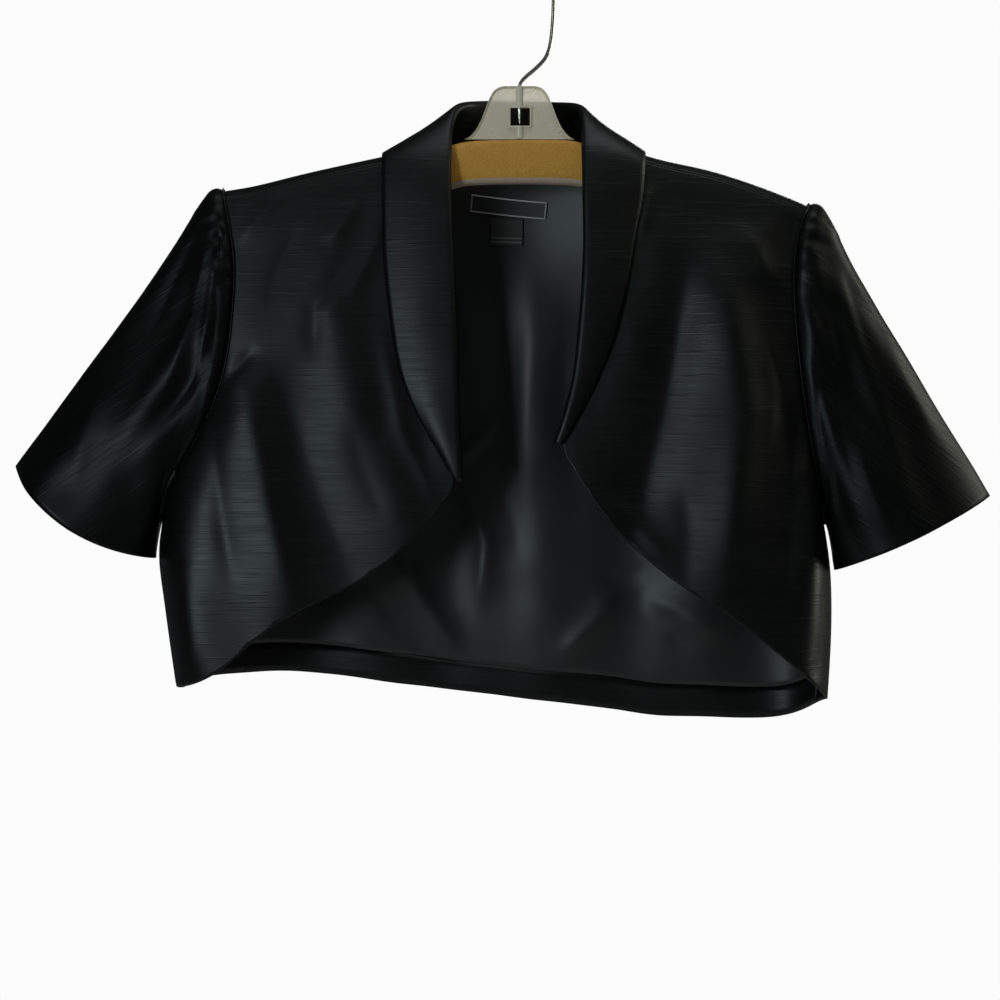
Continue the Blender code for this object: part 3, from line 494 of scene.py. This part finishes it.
# %% [markdown]
# Stiff, papery silk is never quite even between its folds. A slow noise in space gives each piece its
# own faint waves. Creases and waves are pressed into a sheet along its own direction outward.

# %% Press creases into a sheet
# In millimetres: depth and size of a cloth's waves, their seed, and how far from its seams they are whole
WAVES = {
    "front_right": (0.5, 45, 1, 10),
    "front_left": (0.5, 45, 2, 10),
    "back": (0.5, 45, 3, 12),
    "back_lining": (0.6, 30, 4, 10),
    "sleeve_right": (0.6, 40, 5, 8),
    "sleeve_left": (0.6, 40, 6, 8),
    "collar": (0.3, 30, 7, 10),
}
# How far the noise moves in each direction from one seed to the next
SEED_STEPS = (7.3, 3.1, 5.7)


def everywhere(place):
    return True


def seam_calm(piece, node, wanted=everywhere):
    """0 at the seams of a sheet, rising to 1 further in, so that the seams stay where they are."""
    reach = WAVES[node][3] * MM
    away, _ = reach_from(piece, rim_points(piece, wanted))
    return ease(away / reach)


def waves(places, node):
    """Heights in metres of a cloth's own unevenness."""
    depth, size, seed, _ = WAVES[node]
    shift = Vector([seed * step for step in SEED_STEPS])
    values = np.array([noise.noise(Vector(place) / (size * MM) + shift) for place in places])
    return values * (depth * MM)


def press(piece, calm, rows=(), facing=0, node=None):
    """Press creases, in millimetres seen from the front, and a node's waves into a sheet. With facing,
    the creases are whole only where the sheet looks to the back (1) or the front (-1)."""
    places, normals = points_of(piece)
    heights = crease_heights(places[:, [0, 2]] / MM, rows) * MM
    if facing:
        heights = heights * ease(0.5 + normals[:, 1] * facing * 2)
    if node:
        heights = heights + waves(places, node)
    heights = heights * calm
    move_points(piece, places + normals * heights[:, None])


# %% [markdown]
# The two fronts hang from the shoulders. The stiff silk falls in a few long soft folds, with short drag
# lines where the armhole and the collar pull at it. The curved front edge and the hem hang free, so the
# folds run out over them, while the sewn edges stay still.

# %% The fronts
CLOTH = 1.0 * MM
FREE_TOP = -364 * MM
FREE_RIGHT = -245 * MM
FREE_LEFT = 214 * MM
# Columns: x, z of the start, middle and end, height, half width
FRONT_CREASES = {
    "right": [
        (-201, -300, -181, -400, -159, -500, 3.4, 14),
        (-178, -294, -147, -392, -112, -480, -1.0, 12),
        (-104, -258, -86, -347, -58, -408, 1.6, 8),
        (-118, -214, -150, -258, -150, -304, -2.0, 8),
        (-118, -174, -128, -194, -142, -214, 1.5, 6),
        (-98, -190, -112, -226, -128, -256, 1.3, 6),
        (-170, -169, -190, -190, -210, -213, 0.9, 5),
        (-160, -196, -176, -226, -187, -262, -0.9, 6),
        (-218, -313, -204, -300, -190, -284, -1.4, 5),
        (-224, -344, -217, -404, -206, -470, -1.7, 8),
        (-244, -440, -240, -490, -236, -540, 1.4, 8),
        (-128, -330, -112, -380, -96, -420, -0.9, 9),
    ],
    "left": [
        (146, -210, 165, -334, 145, -480, 4.6, 16),
        (128, -196, 104, -334, 66, -486, -4.6, 17),
        (206, -318, 200, -398, 190, -486, -3.6, 10),
        (200, -176, 204, -246, 206, -330, -2.0, 7),
        (176, -272, 184, -320, 180, -370, 1.8, 9),
        (99, -162, 94, -186, 86, -212, 1.4, 5),
        (160, -192, 176, -222, 192, -248, 1.2, 6),
        (186, -184, 178, -212, 172, -244, 1.0, 6),
        (214, -300, 216, -372, 222, -450, 1.8, 7),
        (224, -440, 221, -490, 217, -548, -1.2, 7),
        (64, -392, 86, -418, 112, -446, 1.2, 7),
        (118, -380, 122, -426, 118, -470, -1.0, 9),
    ],
}


def on_front_seam(place):
    """Whether a rim point of a front is sewn."""
    free = place.z < FREE_TOP and FREE_RIGHT < place.x < FREE_LEFT
    return not free


def dress_front(side):
    node = f"front_{side}"
    piece = sheet_of(node, f"{node}_cloth", 3)
    press(piece, seam_calm(piece, node, on_front_seam), FRONT_CREASES[side], node=node)
    thicken(piece, CLOTH, SHANTUNG["body"], SATIN)
    return piece


fronts = {side: dress_front(side) for side in ("right", "left")}

# %% [markdown]
# The back has a few long soft folds that start at the shoulder blades and at the underarms. They go into
# the side that looks back, and the sheet is the outer face, since the lining covers the inner one.

# %% The back
# Columns: x, z of the start, middle and end, height, half width
BACK_CREASES = [
    (-120, -190, -112, -280, -122, -380, 1.6, 9),
    (96, -200, 104, -300, 98, -410, 1.7, 10),
    (-40, -240, -36, -340, -48, -450, -1.2, 12),
    (30, -300, 24, -400, 30, -490, 1.1, 9),
    (-196, -350, -160, -400, -138, -470, 1.5, 7),
    (190, -340, 158, -396, 140, -468, 1.5, 7),
    (-170, -240, -150, -270, -140, -310, 1.1, 5),
    (164, -226, 150, -262, 146, -300, 1.0, 5),
    (-90, -430, -82, -480, -90, -530, 1.2, 8),
    (76, -440, 84, -490, 80, -540, -1.1, 8),
]

back = sheet_of("back", "back_cloth", 2)
calm = seam_calm(back, "back")
press(back, calm, BACK_CREASES, facing=1)
press(back, calm, node="back")
thicken(back, CLOTH, SHANTUNG["body"])

# %% [markdown]
# Below the label the lining falls in one long ridge, and lower down it is loose and breaks into short
# crossing folds. They rise more than they sink, because the back lies close behind. A narrow band of
# the silk is turned up inside the hem.

# %% The lining and the hem band
LINING = 0.6 * MM
BAND = 0.8 * MM
# Columns: x, z of the start, middle and end, height, half width
LINING_CREASES = [
    (12, -222, 8, -300, 2, -376, 0.7, 8),
    (-42, -250, -34, -300, -26, -340, 0.9, 7),
    (38, -260, 32, -330, 42, -400, -1.1, 8),
    (-50, -372, -31, -354, -10, -332, 1.8, 4),
    (-48, -382, -24, -430, -32, -490, 2.8, 6),
    (-20, -376, -4, -410, 2, -450, -1.0, 8),
    (-104, -420, -72, -476, -40, -522, 3.2, 8),
    (-126, -444, -106, -472, -80, -508, -1.1, 7),
    (84, -458, 54, -494, 24, -522, 3.0, 7),
    (56, -456, 78, -457, 102, -450, -1.2, 5),
    (92, -470, 118, -480, 152, -504, 2.6, 8),
    (108, -500, 128, -506, 150, -508, -1.1, 6),
]

lining = sheet_of("back_lining", "back_lining_satin", 2, side=-1)
calm = seam_calm(lining, "back_lining")
press(lining, calm, LINING_CREASES, facing=-1)
press(lining, calm, node="back_lining")
thicken(lining, LINING, SATIN)
band = sheet_of("hem_facing", "hem_facing_cloth", 2, side=-1)
thicken(band, BAND, SHANTUNG["body"])

# %% [markdown]
# The collar is folded over at its roll line. It is stiffened, so it stays smooth, with only a faint
# unevenness where it bends round the neck. Both of its sides are silk.

# %% The collar
collar = sheet_of("collar", "collar_cloth", 2)
press(collar, seam_calm(collar, "collar"), node="collar")
thicken(collar, CLOTH, SHANTUNG["body"], SHANTUNG["body"])

# %% [markdown]
# The sleeve heads are gathered into the armholes, so they stand up in a row of small puckers that run
# out into drag lines. Close to the seam the cloth dips down to the shell that it is sewn to. The puckers
# are a wave along the seam. Its pitch wanders, or it would look like a zip.

# %% Gather a sleeve head
# The rim of a sleeve is its armhole this near to the middle and this high
ARMHOLE_X = 262 * MM
ARMHOLE_Z = -430 * MM
SEAM_DIP = 1.3 * MM
SEAM_DIP_REACH = 2.4 * MM
HEAD_RISE = 2.0 * MM
HEAD_REACH = 7 * MM
HEAD_BOTTOM = {"right": -268 * MM, "left": -262 * MM}
# The head is at its full height over the upper third of its stretch of armhole
HEAD_FADE = 1.5
PUCKER = 0.35 * MM
PUCKER_PITCH = 15 * MM
# The puckers run ahead and fall behind by this much of a turn, in radians, at this rate for a metre
WANDER = 0.8
WANDER_RATE = 130
# Those behind the shoulder are out of step with those in front of it
BEHIND_STEP = 1.1
BEHIND_RATE = 150
# A drag line is this share of a pucker, and lies this far out
DRAG_SHARE = 0.4
DRAG_PLACE = 20 * MM
DRAG_REACH = 16 * MM


def on_armhole(place):
    return abs(place.x) < ARMHOLE_X and place.z > ARMHOLE_Z


def gather_head(piece, side):
    """Dip the sleeve into its armhole seam and raise the puckered head above it."""
    rim = rim_points(piece, on_armhole)
    away, which = reach_from(piece, rim)
    places, normals = points_of(piece)
    depth, level = rim[which, 1], rim[which, 2]
    bottom, top = HEAD_BOTTOM[side], rim[:, 2].max()
    head = ease((level - bottom) / (top - bottom) * HEAD_FADE)
    turn = level * 2 * math.pi / PUCKER_PITCH + np.sin(level * WANDER_RATE) * WANDER
    turn += np.sign(depth) * BEHIND_STEP + depth * BEHIND_RATE
    swell = np.exp(-((away - HEAD_REACH) / HEAD_REACH) ** 2)
    drag = np.exp(-((away - DRAG_PLACE) / DRAG_REACH) ** 2)
    heights = -SEAM_DIP * np.exp(-(away / SEAM_DIP_REACH) ** 2)
    heights += head * swell * (HEAD_RISE + PUCKER * np.cos(turn))
    heights += head * drag * PUCKER * DRAG_SHARE * np.cos(turn)
    move_points(piece, places + normals * heights[:, None])
    print(piece.name, "gathered along", len(rim), "points of its armhole")


# %% [markdown]
# Each sleeve is a short flared tube. The right one stands further out, with a deep fold at its inner
# side, and the left one falls in one long ridge from the top of its head to the hem.

# %% The sleeves
# Columns: x, z of the start, middle and end, height, half width
SLEEVE_CREASES = {
    "right": [
        (-226, -196, -238, -262, -262, -330, 1.7, 5),
        (-220, -202, -226, -258, -238, -330, 1.5, 4),
        (-231, -186, -250, -230, -276, -290, -1.2, 6),
        (-221, -196, -220, -212, -222, -232, -2.6, 3),
        (-222, -236, -221, -266, -225, -300, -1.4, 4),
        (-232, -340, -256, -376, -268, -424, -2.8, 8),
        (-302, -300, -316, -342, -326, -396, 1.3, 8),
        (-252, -392, -266, -410, -284, -424, 1.2, 6),
    ],
    "left": [
        (226, -204, 251, -300, 298, -426, 3.0, 11),
        (214, -206, 222, -262, 238, -320, 1.2, 6),
        (212, -200, 224, -198, 240, -206, 1.2, 5),
        (236, -222, 246, -262, 262, -306, -1.3, 6),
        (222, -280, 232, -340, 250, -410, -1.8, 9),
        (262, -262, 284, -312, 306, -356, 1.0, 7),
        (244, -350, 256, -390, 272, -430, 1.1, 6),
    ],
}


def dress_sleeve(side):
    node = f"sleeve_{side}"
    piece = sheet_of(node, f"{node}_cloth", 3)
    calm = seam_calm(piece, node, on_armhole)
    press(piece, calm, SLEEVE_CREASES[side], facing=-1)
    press(piece, calm, node=node)
    gather_head(piece, side)
    thicken(piece, CLOTH, SHANTUNG[f"{side}_sleeve"], SATIN)
    return piece


sleeves = {side: dress_sleeve(side) for side in ("right", "left")}

# %% [markdown]
# The seam allowances inside lift the cloth into a narrow roll along each armhole. The side seams are
# pressed flat, so there only a hairline of the same roll shows between the two pieces. A roll is a thin
# round curve, and its points are read from the rim that is sewn, so that it can't leave its seam.

# %% Follow the rim of a sheet
# Every third point of a rim is enough for a smooth roll, and a shorter line than this is a stray end
ROLL_POINTS = 3
SHORTEST_ROLL = 4


def rim_lines(piece, wanted):
    """The wanted stretches of a sheet's rim, each a row of places and directions outward."""
    bm = bmesh.new()
    bm.from_mesh(piece.data)
    follow = {}
    for edge in bm.edges:
        if edge.is_boundary and all(wanted(vert.co) for vert in edge.verts):
            for here, there in (edge.verts, reversed(edge.verts)):
                follow.setdefault(here.index, []).append(there.index)
    bm.verts.ensure_lookup_table()
    left = sorted(follow, key=lambda index: (len(follow[index]), index))
    lines = []
    while left:
        line = [left.pop(0)]
        while True:
            onward = [index for index in follow[line[-1]] if index in left]
            if not onward:
                break
            line.append(onward[0])
            left.remove(onward[0])
        closed = len(line) > 2 and line[0] in follow[line[-1]]
        points = [bm.verts[index] for index in line[::ROLL_POINTS]]
        lines.append(([(point.co.copy(), point.normal.copy()) for point in points], closed))
    bm.free()
    return [(line, closed) for line, closed in lines if len(line) >= SHORTEST_ROLL]


# %% [markdown]
# The armhole's roll is lifted clear of the seam, and the side seam's is sunk between its two edges. Each
# rides with the cloth and takes the silk's finish.

# %% The seams
# Radius, and lift along the outward direction
ARMHOLE_ROLL = (0.6 * MM, 0.9 * MM)
SIDE_ROLL = (0.5 * MM, -0.35 * MM)
SIDE_X = 200 * MM
UNDERARM_Z = -420 * MM


def on_side_seam(place):
    return abs(place.x) > SIDE_X and place.z < UNDERARM_Z and on_front_seam(place)


def seam_roll(piece, name, wanted, radius, lift):
    """A thin roll of cloth along a sewn rim."""
    data = bpy.data.curves.new(name, "CURVE")
    data.dimensions = "3D"
    data.bevel_depth = radius
    data.bevel_resolution = 1
    for line, closed in rim_lines(piece, wanted):
        spline = data.splines.new("POLY")
        spline.points.add(len(line) - 1)
        for point, (place, outward) in zip(spline.points, line):
            point.co = (*(place + outward * lift), 1)
        spline.use_cyclic_u = closed
    data.materials.append(SHANTUNG["body"])
    roll = bpy.data.objects.new(name, data)
    bpy.context.scene.collection.objects.link(roll)
    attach(roll, "root")
    print(name, "in", len(data.splines), "stretches")


for side in ("right", "left"):
    seam_roll(sleeves[side], f"armhole_{side}_seam", on_armhole, *ARMHOLE_ROLL)
    seam_roll(fronts[side], f"side_{side}_seam", on_side_seam, *SIDE_ROLL)

# %% [markdown]
# Every cloth piece takes the place of its solid, which is hidden, and rides with it.

# %% Attach each cloth piece and hide its solid
pairs = [
    (fronts["right"], "front_right"), (fronts["left"], "front_left"), (back, "back"),
    (lining, "back_lining"), (band, "hem_facing"), (collar, "collar"),
    (sleeves["right"], "sleeve_right"), (sleeves["left"], "sleeve_left"),
]
for piece, node in pairs:
    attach(piece, "root")
    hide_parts(node)
print(len(pairs), "cloth pieces")

# %% [markdown]
# The hanger has three materials. The plate is cloudy clear plastic, which lets a little light through.
# The sleeve over the arms is tan foam, full of small pits, and paler on its faces that look down. The hook
# is drawn wire with faint marks along it.

# %% Hanger finishes


def clear_plastic():
    finish = Finish("clear_grey", (0.8, 0.72, 0.58), 0.24, Transmission_Weight=0.25, IOR=1.47)
    cloud = finish.noise(finish.place((40, 40, 60)), 3)
    finish.wire("Roughness", finish.ramp(cloud, *MOST, 0.18, 0.34))
    finish.bump(finish.noise(finish.place((700, 700, 700)), 1), 0.00005, 0.3)
    return finish.material


def foam(name, low, high):
    finish = Finish(name, low, 0.95)
    pits = finish.noise(finish.place((900, 900, 900)), 2, 0.6)
    cloud = finish.noise(finish.place((70, 70, 90)), 3, 0.6)
    tone = finish.add(finish.ramp(pits, 0.35, 0.65, 0, 0.6), cloud, 0.5)
    finish.wire("Base Color", finish.blend(tone, low, high))
    finish.bump(pits, 0.0004, 0.6)
    return finish.material


def steel():
    finish = Finish("bright_wire", (0.66, 0.65, 0.58), 0.22, Metallic=1.0)
    drawn = finish.noise(finish.place((2500, 2500, 120)), 2)
    finish.wire("Roughness", finish.ramp(drawn, *MOST, 0.16, 0.3))
    return finish.material


PLASTIC = clear_plastic()
FOAM = foam("tan_foam_sleeve", (0.42, 0.2, 0.028), (0.62, 0.32, 0.06))
FOAM_UNDERSIDE = foam("foam_underside", (0.36, 0.27, 0.2), (0.5, 0.38, 0.28))
WIRE = steel()
print("hanger finishes", PLASTIC.name, FOAM.name, FOAM_UNDERSIDE.name, WIRE.name)

# %% [markdown]
# The neck plate is one clear grey moulding: a thin web inside a rounded rim, a tube down its middle for
# the wire, and a framed window. Its outline is filled, given depth, inset and pushed in from both sides,
# which leaves the rim standing.

# %% The web and the rim of the neck plate
PLATE_DEPTH = 5 * MM
WEB_DEPTH = 1.6 * MM
RIM_WIDTH = 1.7 * MM
RIM_ROUND = 0.7 * MM
# Half of the plate's outline, from the middle of its top. Columns: x, z
PLATE_OUTLINE = [
    (0, -92), (6, -92), (11, -92), (14, -92.5), (16.5, -93.6), (18.7, -95.3), (20.4, -97.6),
    (21.8, -100.2), (23, -103), (24.4, -106.8), (26, -111), (27.6, -115.2), (29.5, -119.5),
    (31.3, -123), (33.5, -126), (35.6, -128.4), (38, -130.2), (41, -131.5),
]


def make_web():
    bm = bmesh.new()
    points = PLATE_OUTLINE + [(-x, z) for x, z in PLATE_OUTLINE[:0:-1]]
    face = bm.faces.new([bm.verts.new((x * MM, -PLATE_DEPTH / 2, z * MM)) for x, z in points])
    grown = bmesh.ops.extrude_face_region(bm, geom=[face])["geom"]
    moved = [item for item in grown if isinstance(item, bmesh.types.BMVert)]
    bmesh.ops.translate(bm, vec=(0, PLATE_DEPTH, 0), verts=moved)
    bmesh.ops.recalc_face_normals(bm, faces=bm.faces)
    flats = [face for face in bm.faces if abs(face.normal.y) > 0.9]
    bmesh.ops.inset_region(bm, faces=flats, thickness=RIM_WIDTH)
    for flat in flats:
        push = Vector((0, math.copysign((PLATE_DEPTH - WEB_DEPTH) / 2, -flat.normal.y), 0))
        bmesh.ops.translate(bm, vec=push, verts=flat.verts)
    rims = [edge for edge in bm.edges if edge.calc_face_angle() > math.radians(50)
            and all(abs(vert.co.y) > PLATE_DEPTH * 0.4 for vert in edge.verts)]
    bmesh.ops.bevel(bm, geom=rims, offset=RIM_ROUND, offset_type="OFFSET", segments=3, profile=0.5,
                    affect="EDGES", material=-1)
    return new_object("neck_plate", bm, PLASTIC)


plate = make_web()
print("web and rim", len(plate.data.polygons), "faces")

# %% [markdown]
# The tube and the window's frame are joined to the plate, and then the window is cut through all three.
# Three booleans keep it one closed moulding, where loose parts laid over each other would not.

# %% The tube and the window of the neck plate
TUBE_RADIUS = 2.9 * MM
TUBE_LENGTH = 38 * MM
TUBE_MIDDLE = -111.4 * MM
WINDOW_X = 0.5 * MM
WINDOW_Z = -114.7 * MM
WINDOW_WIDTH = 14.4 * MM
WINDOW_HEIGHT = 13.4 * MM
FRAME_WIDTH = 1.2 * MM
FRAME_DEPTH = 4.4 * MM
CUT_DEPTH = 20 * MM
SHARP_ANGLE = math.radians(40)


def cut_or_join(tool, operation):
    change = plate.modifiers.new(tool.name, "BOOLEAN")
    change.operation = operation
    change.object = tool
    settle(plate)
    bpy.data.objects.remove(tool, do_unlink=True)


def tube():
    bm = bmesh.new()
    bmesh.ops.create_cone(bm, cap_ends=True, segments=32, radius1=TUBE_RADIUS, radius2=TUBE_RADIUS,
                          depth=TUBE_LENGTH)
    bmesh.ops.translate(bm, vec=(0, 0, TUBE_MIDDLE), verts=bm.verts)
    return new_object("tube", bm)


def window_block(name, border, depth):
    """A block round the window, wider by a border on each side."""
    bm = bmesh.new()
    bmesh.ops.create_cube(bm, size=1)
    size = (WINDOW_WIDTH + 2 * border, depth, WINDOW_HEIGHT + 2 * border)
    bmesh.ops.scale(bm, vec=size, verts=bm.verts)
    bmesh.ops.translate(bm, vec=(WINDOW_X, 0, WINDOW_Z), verts=bm.verts)
    return new_object(name, bm)


cut_or_join(tube(), "UNION")
cut_or_join(window_block("window_frame", FRAME_WIDTH, FRAME_DEPTH), "UNION")
cut_or_join(window_block("window", 0, CUT_DEPTH), "DIFFERENCE")
plate.data.shade_smooth()
plate.data.set_sharp_from_angle(angle=SHARP_ANGLE)
print("neck plate", len(plate.data.polygons), "faces")

# %% [markdown]
# The foam sleeve and the wire are already right in the solids, so copies of them are only rounded. The
# end of the wire is hammered thinner where it shows in the window, and the foam is paler on its faces that
# look down.

# %% The foam sleeve and the wire
# Faces of the foam that look down more than this get the paler foam finish
UNDERSIDE_FACING = -0.3
WINDOW_TOP = -108 * MM
WIRE_END = -121 * MM
# The wire's width at the top of the window, and how much of it is lost by its end
WIRE_TOP_WIDTH = 1.05
WIRE_LOSS = 0.45


def rounded_copy(node, name, finish):
    piece = new_object(name, solid_copy(node, HANGER_FLAT), finish)
    round_off(piece, 2)
    piece.data.materials.clear()
    piece.data.materials.append(finish)
    print(name, len(piece.data.polygons), "faces")
    return piece


cover = rounded_copy("hanger_cover", "foam_sleeve", FOAM)
cover.data.materials.append(FOAM_UNDERSIDE)
for face in cover.data.polygons:
    face.material_index = 1 if face.normal.z < UNDERSIDE_FACING else 0

wire = rounded_copy("hanger_hook", "hook_wire", WIRE)
for vert in wire.data.vertices:
    if vert.co.z < WINDOW_TOP:
        share = (vert.co.z - WINDOW_TOP) / (WIRE_END - WINDOW_TOP)
        width = WIRE_TOP_WIDTH - WIRE_LOSS * share
        vert.co.x *= width
        vert.co.y *= width

# %% [markdown]
# Two tapes are sewn inside the neck. The label is woven with a thin pale border, and the small tab hangs
# below it with two plain stripes. Each is a fine grid that is laid on the lining with rays, so that it
# bends as the lining does. Its pale threads are whole cells of that grid, which stay as sharp as weaving.

# %% Tape finishes
TAPE_RIBS = (2600, 500, 2600)
TAPE_RELIEF = 0.00012


def tape(name, low, high):
    finish = Finish(name, low, 0.6)
    weave = finish.noise(finish.place(TAPE_RIBS), 1)
    finish.wire("Base Color", finish.blend(weave, low, high))
    finish.bump(weave, TAPE_RELIEF, 0.6)
    return finish.material


LABEL_GROUND = tape("label_ground", (0.003, 0.003, 0.003), (0.008, 0.008, 0.008))
LABEL_THREAD = tape("label_thread", (0.17, 0.17, 0.17), (0.42, 0.42, 0.42))
TAB_GROUND = tape("tab_ground", (0.008, 0.009, 0.0075), (0.018, 0.02, 0.016))
TAB_THREAD = tape("tab_thread", (0.05, 0.055, 0.05), (0.12, 0.13, 0.12))
print("tape finishes", LABEL_GROUND.name, LABEL_THREAD.name, TAB_GROUND.name, TAB_THREAD.name)

# %% [markdown]
# A tape starts as a flat grid, one millimetre to a cell. Each of its points is turned by the tape's tilt
# and sent straight back until it meets the lining, then lifted off it a little.

# %% The neck label and the size tab
CELL = 1 * MM
TAPE = 0.4 * MM
# Rays start this far in front of the hanger's plane
RAY_START = -20 * MM


def lay_tape(name, x, z, columns, rows, tilt, lift, ground, thread, is_thread):
    """A tape of square cells round x and z in millimetres, tilted by some degrees."""
    surface = BVHTree.FromObject(lining, bpy.context.evaluated_depsgraph_get())
    bm = bmesh.new()
    bmesh.ops.create_grid(bm, x_segments=columns, y_segments=rows, size=0.5)
    bmesh.ops.scale(bm, vec=(columns * CELL, rows * CELL, 1), verts=bm.verts)
    for face in bm.faces:
        centre = face.calc_center_median() / CELL
        pale = is_thread(columns / 2 - abs(centre.x), centre.y + rows / 2, rows)
        face.material_index = 1 if pale else 0
    turn = math.radians(tilt)
    for vert in bm.verts:
        across = vert.co.x * math.cos(turn) - vert.co.y * math.sin(turn)
        up = vert.co.x * math.sin(turn) + vert.co.y * math.cos(turn)
        start = Vector((x * MM + across, RAY_START, z * MM + up))
        place, _, _, _ = surface.ray_cast(start, Vector((0, 1, 0)))
        vert.co = place - Vector((0, lift, 0))
    piece = new_object(name, bm, ground)
    piece.data.materials.append(thread)
    wall = piece.modifiers.new("wall", "SOLIDIFY")
    wall.thickness = TAPE
    wall.offset = 1
    print(name, columns, "by", rows, "mm")
    return piece


def on_border(from_side, from_bottom, rows):
    return min(from_side, from_bottom, rows - from_bottom) < 1


def on_stripe(from_side, from_bottom, rows):
    return from_side > 1 and (2 < from_bottom < 3.1 or 5 < from_bottom < 6.1)


label = lay_tape("neck_label_tape", -8, -178, 57, 13, -5.5, 1.6 * MM,
                 LABEL_GROUND, LABEL_THREAD, on_border)
tab = lay_tape("size_tab_tape", -9.5, -196.5, 25, 20, -1, 0.9 * MM,
               TAB_GROUND, TAB_THREAD, on_stripe)

# %% [markdown]
# The hanger's pieces and the tapes take the place of their solids too, which are hidden.

# %% Attach the hanger's pieces and the tapes and hide their solids
for piece, node, slot in (
        (plate, "hanger_neck", "clear_grey_plastic"), (cover, "hanger_cover", "tan_foam"),
        (wire, "hanger_hook", "steel_wire"), (label, "neck_label", "woven_label"),
        (tab, "size_tab", "size_tape")):
    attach(piece, "root")
    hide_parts(node)
    print(piece.name, "stands for", node)

# %% [markdown]
# A pale floor closes the scene below. It is not part of the object. It looks lit from everywhere, but it
# throws no light of its own on the cloth.

# %% The floor
FLOOR_Z = -1.9
FLOOR_RADIUS = 4.5

bm = bmesh.new()
bmesh.ops.create_circle(bm, cap_ends=True, segments=64, radius=FLOOR_RADIUS)
bmesh.ops.translate(bm, vec=(0, 0, FLOOR_Z), verts=bm.verts)
paint = Finish("floor_paint", (0.8, 0.8, 0.78), 0.8, Emission_Color=(0.7, 0.7, 0.69, 1))
paint.wire("Emission Strength", paint.node("LightPath").outputs["Is Camera Ray"])
floor = new_object("floor", bm, paint.material)
print("floor at", FLOOR_Z, "m")
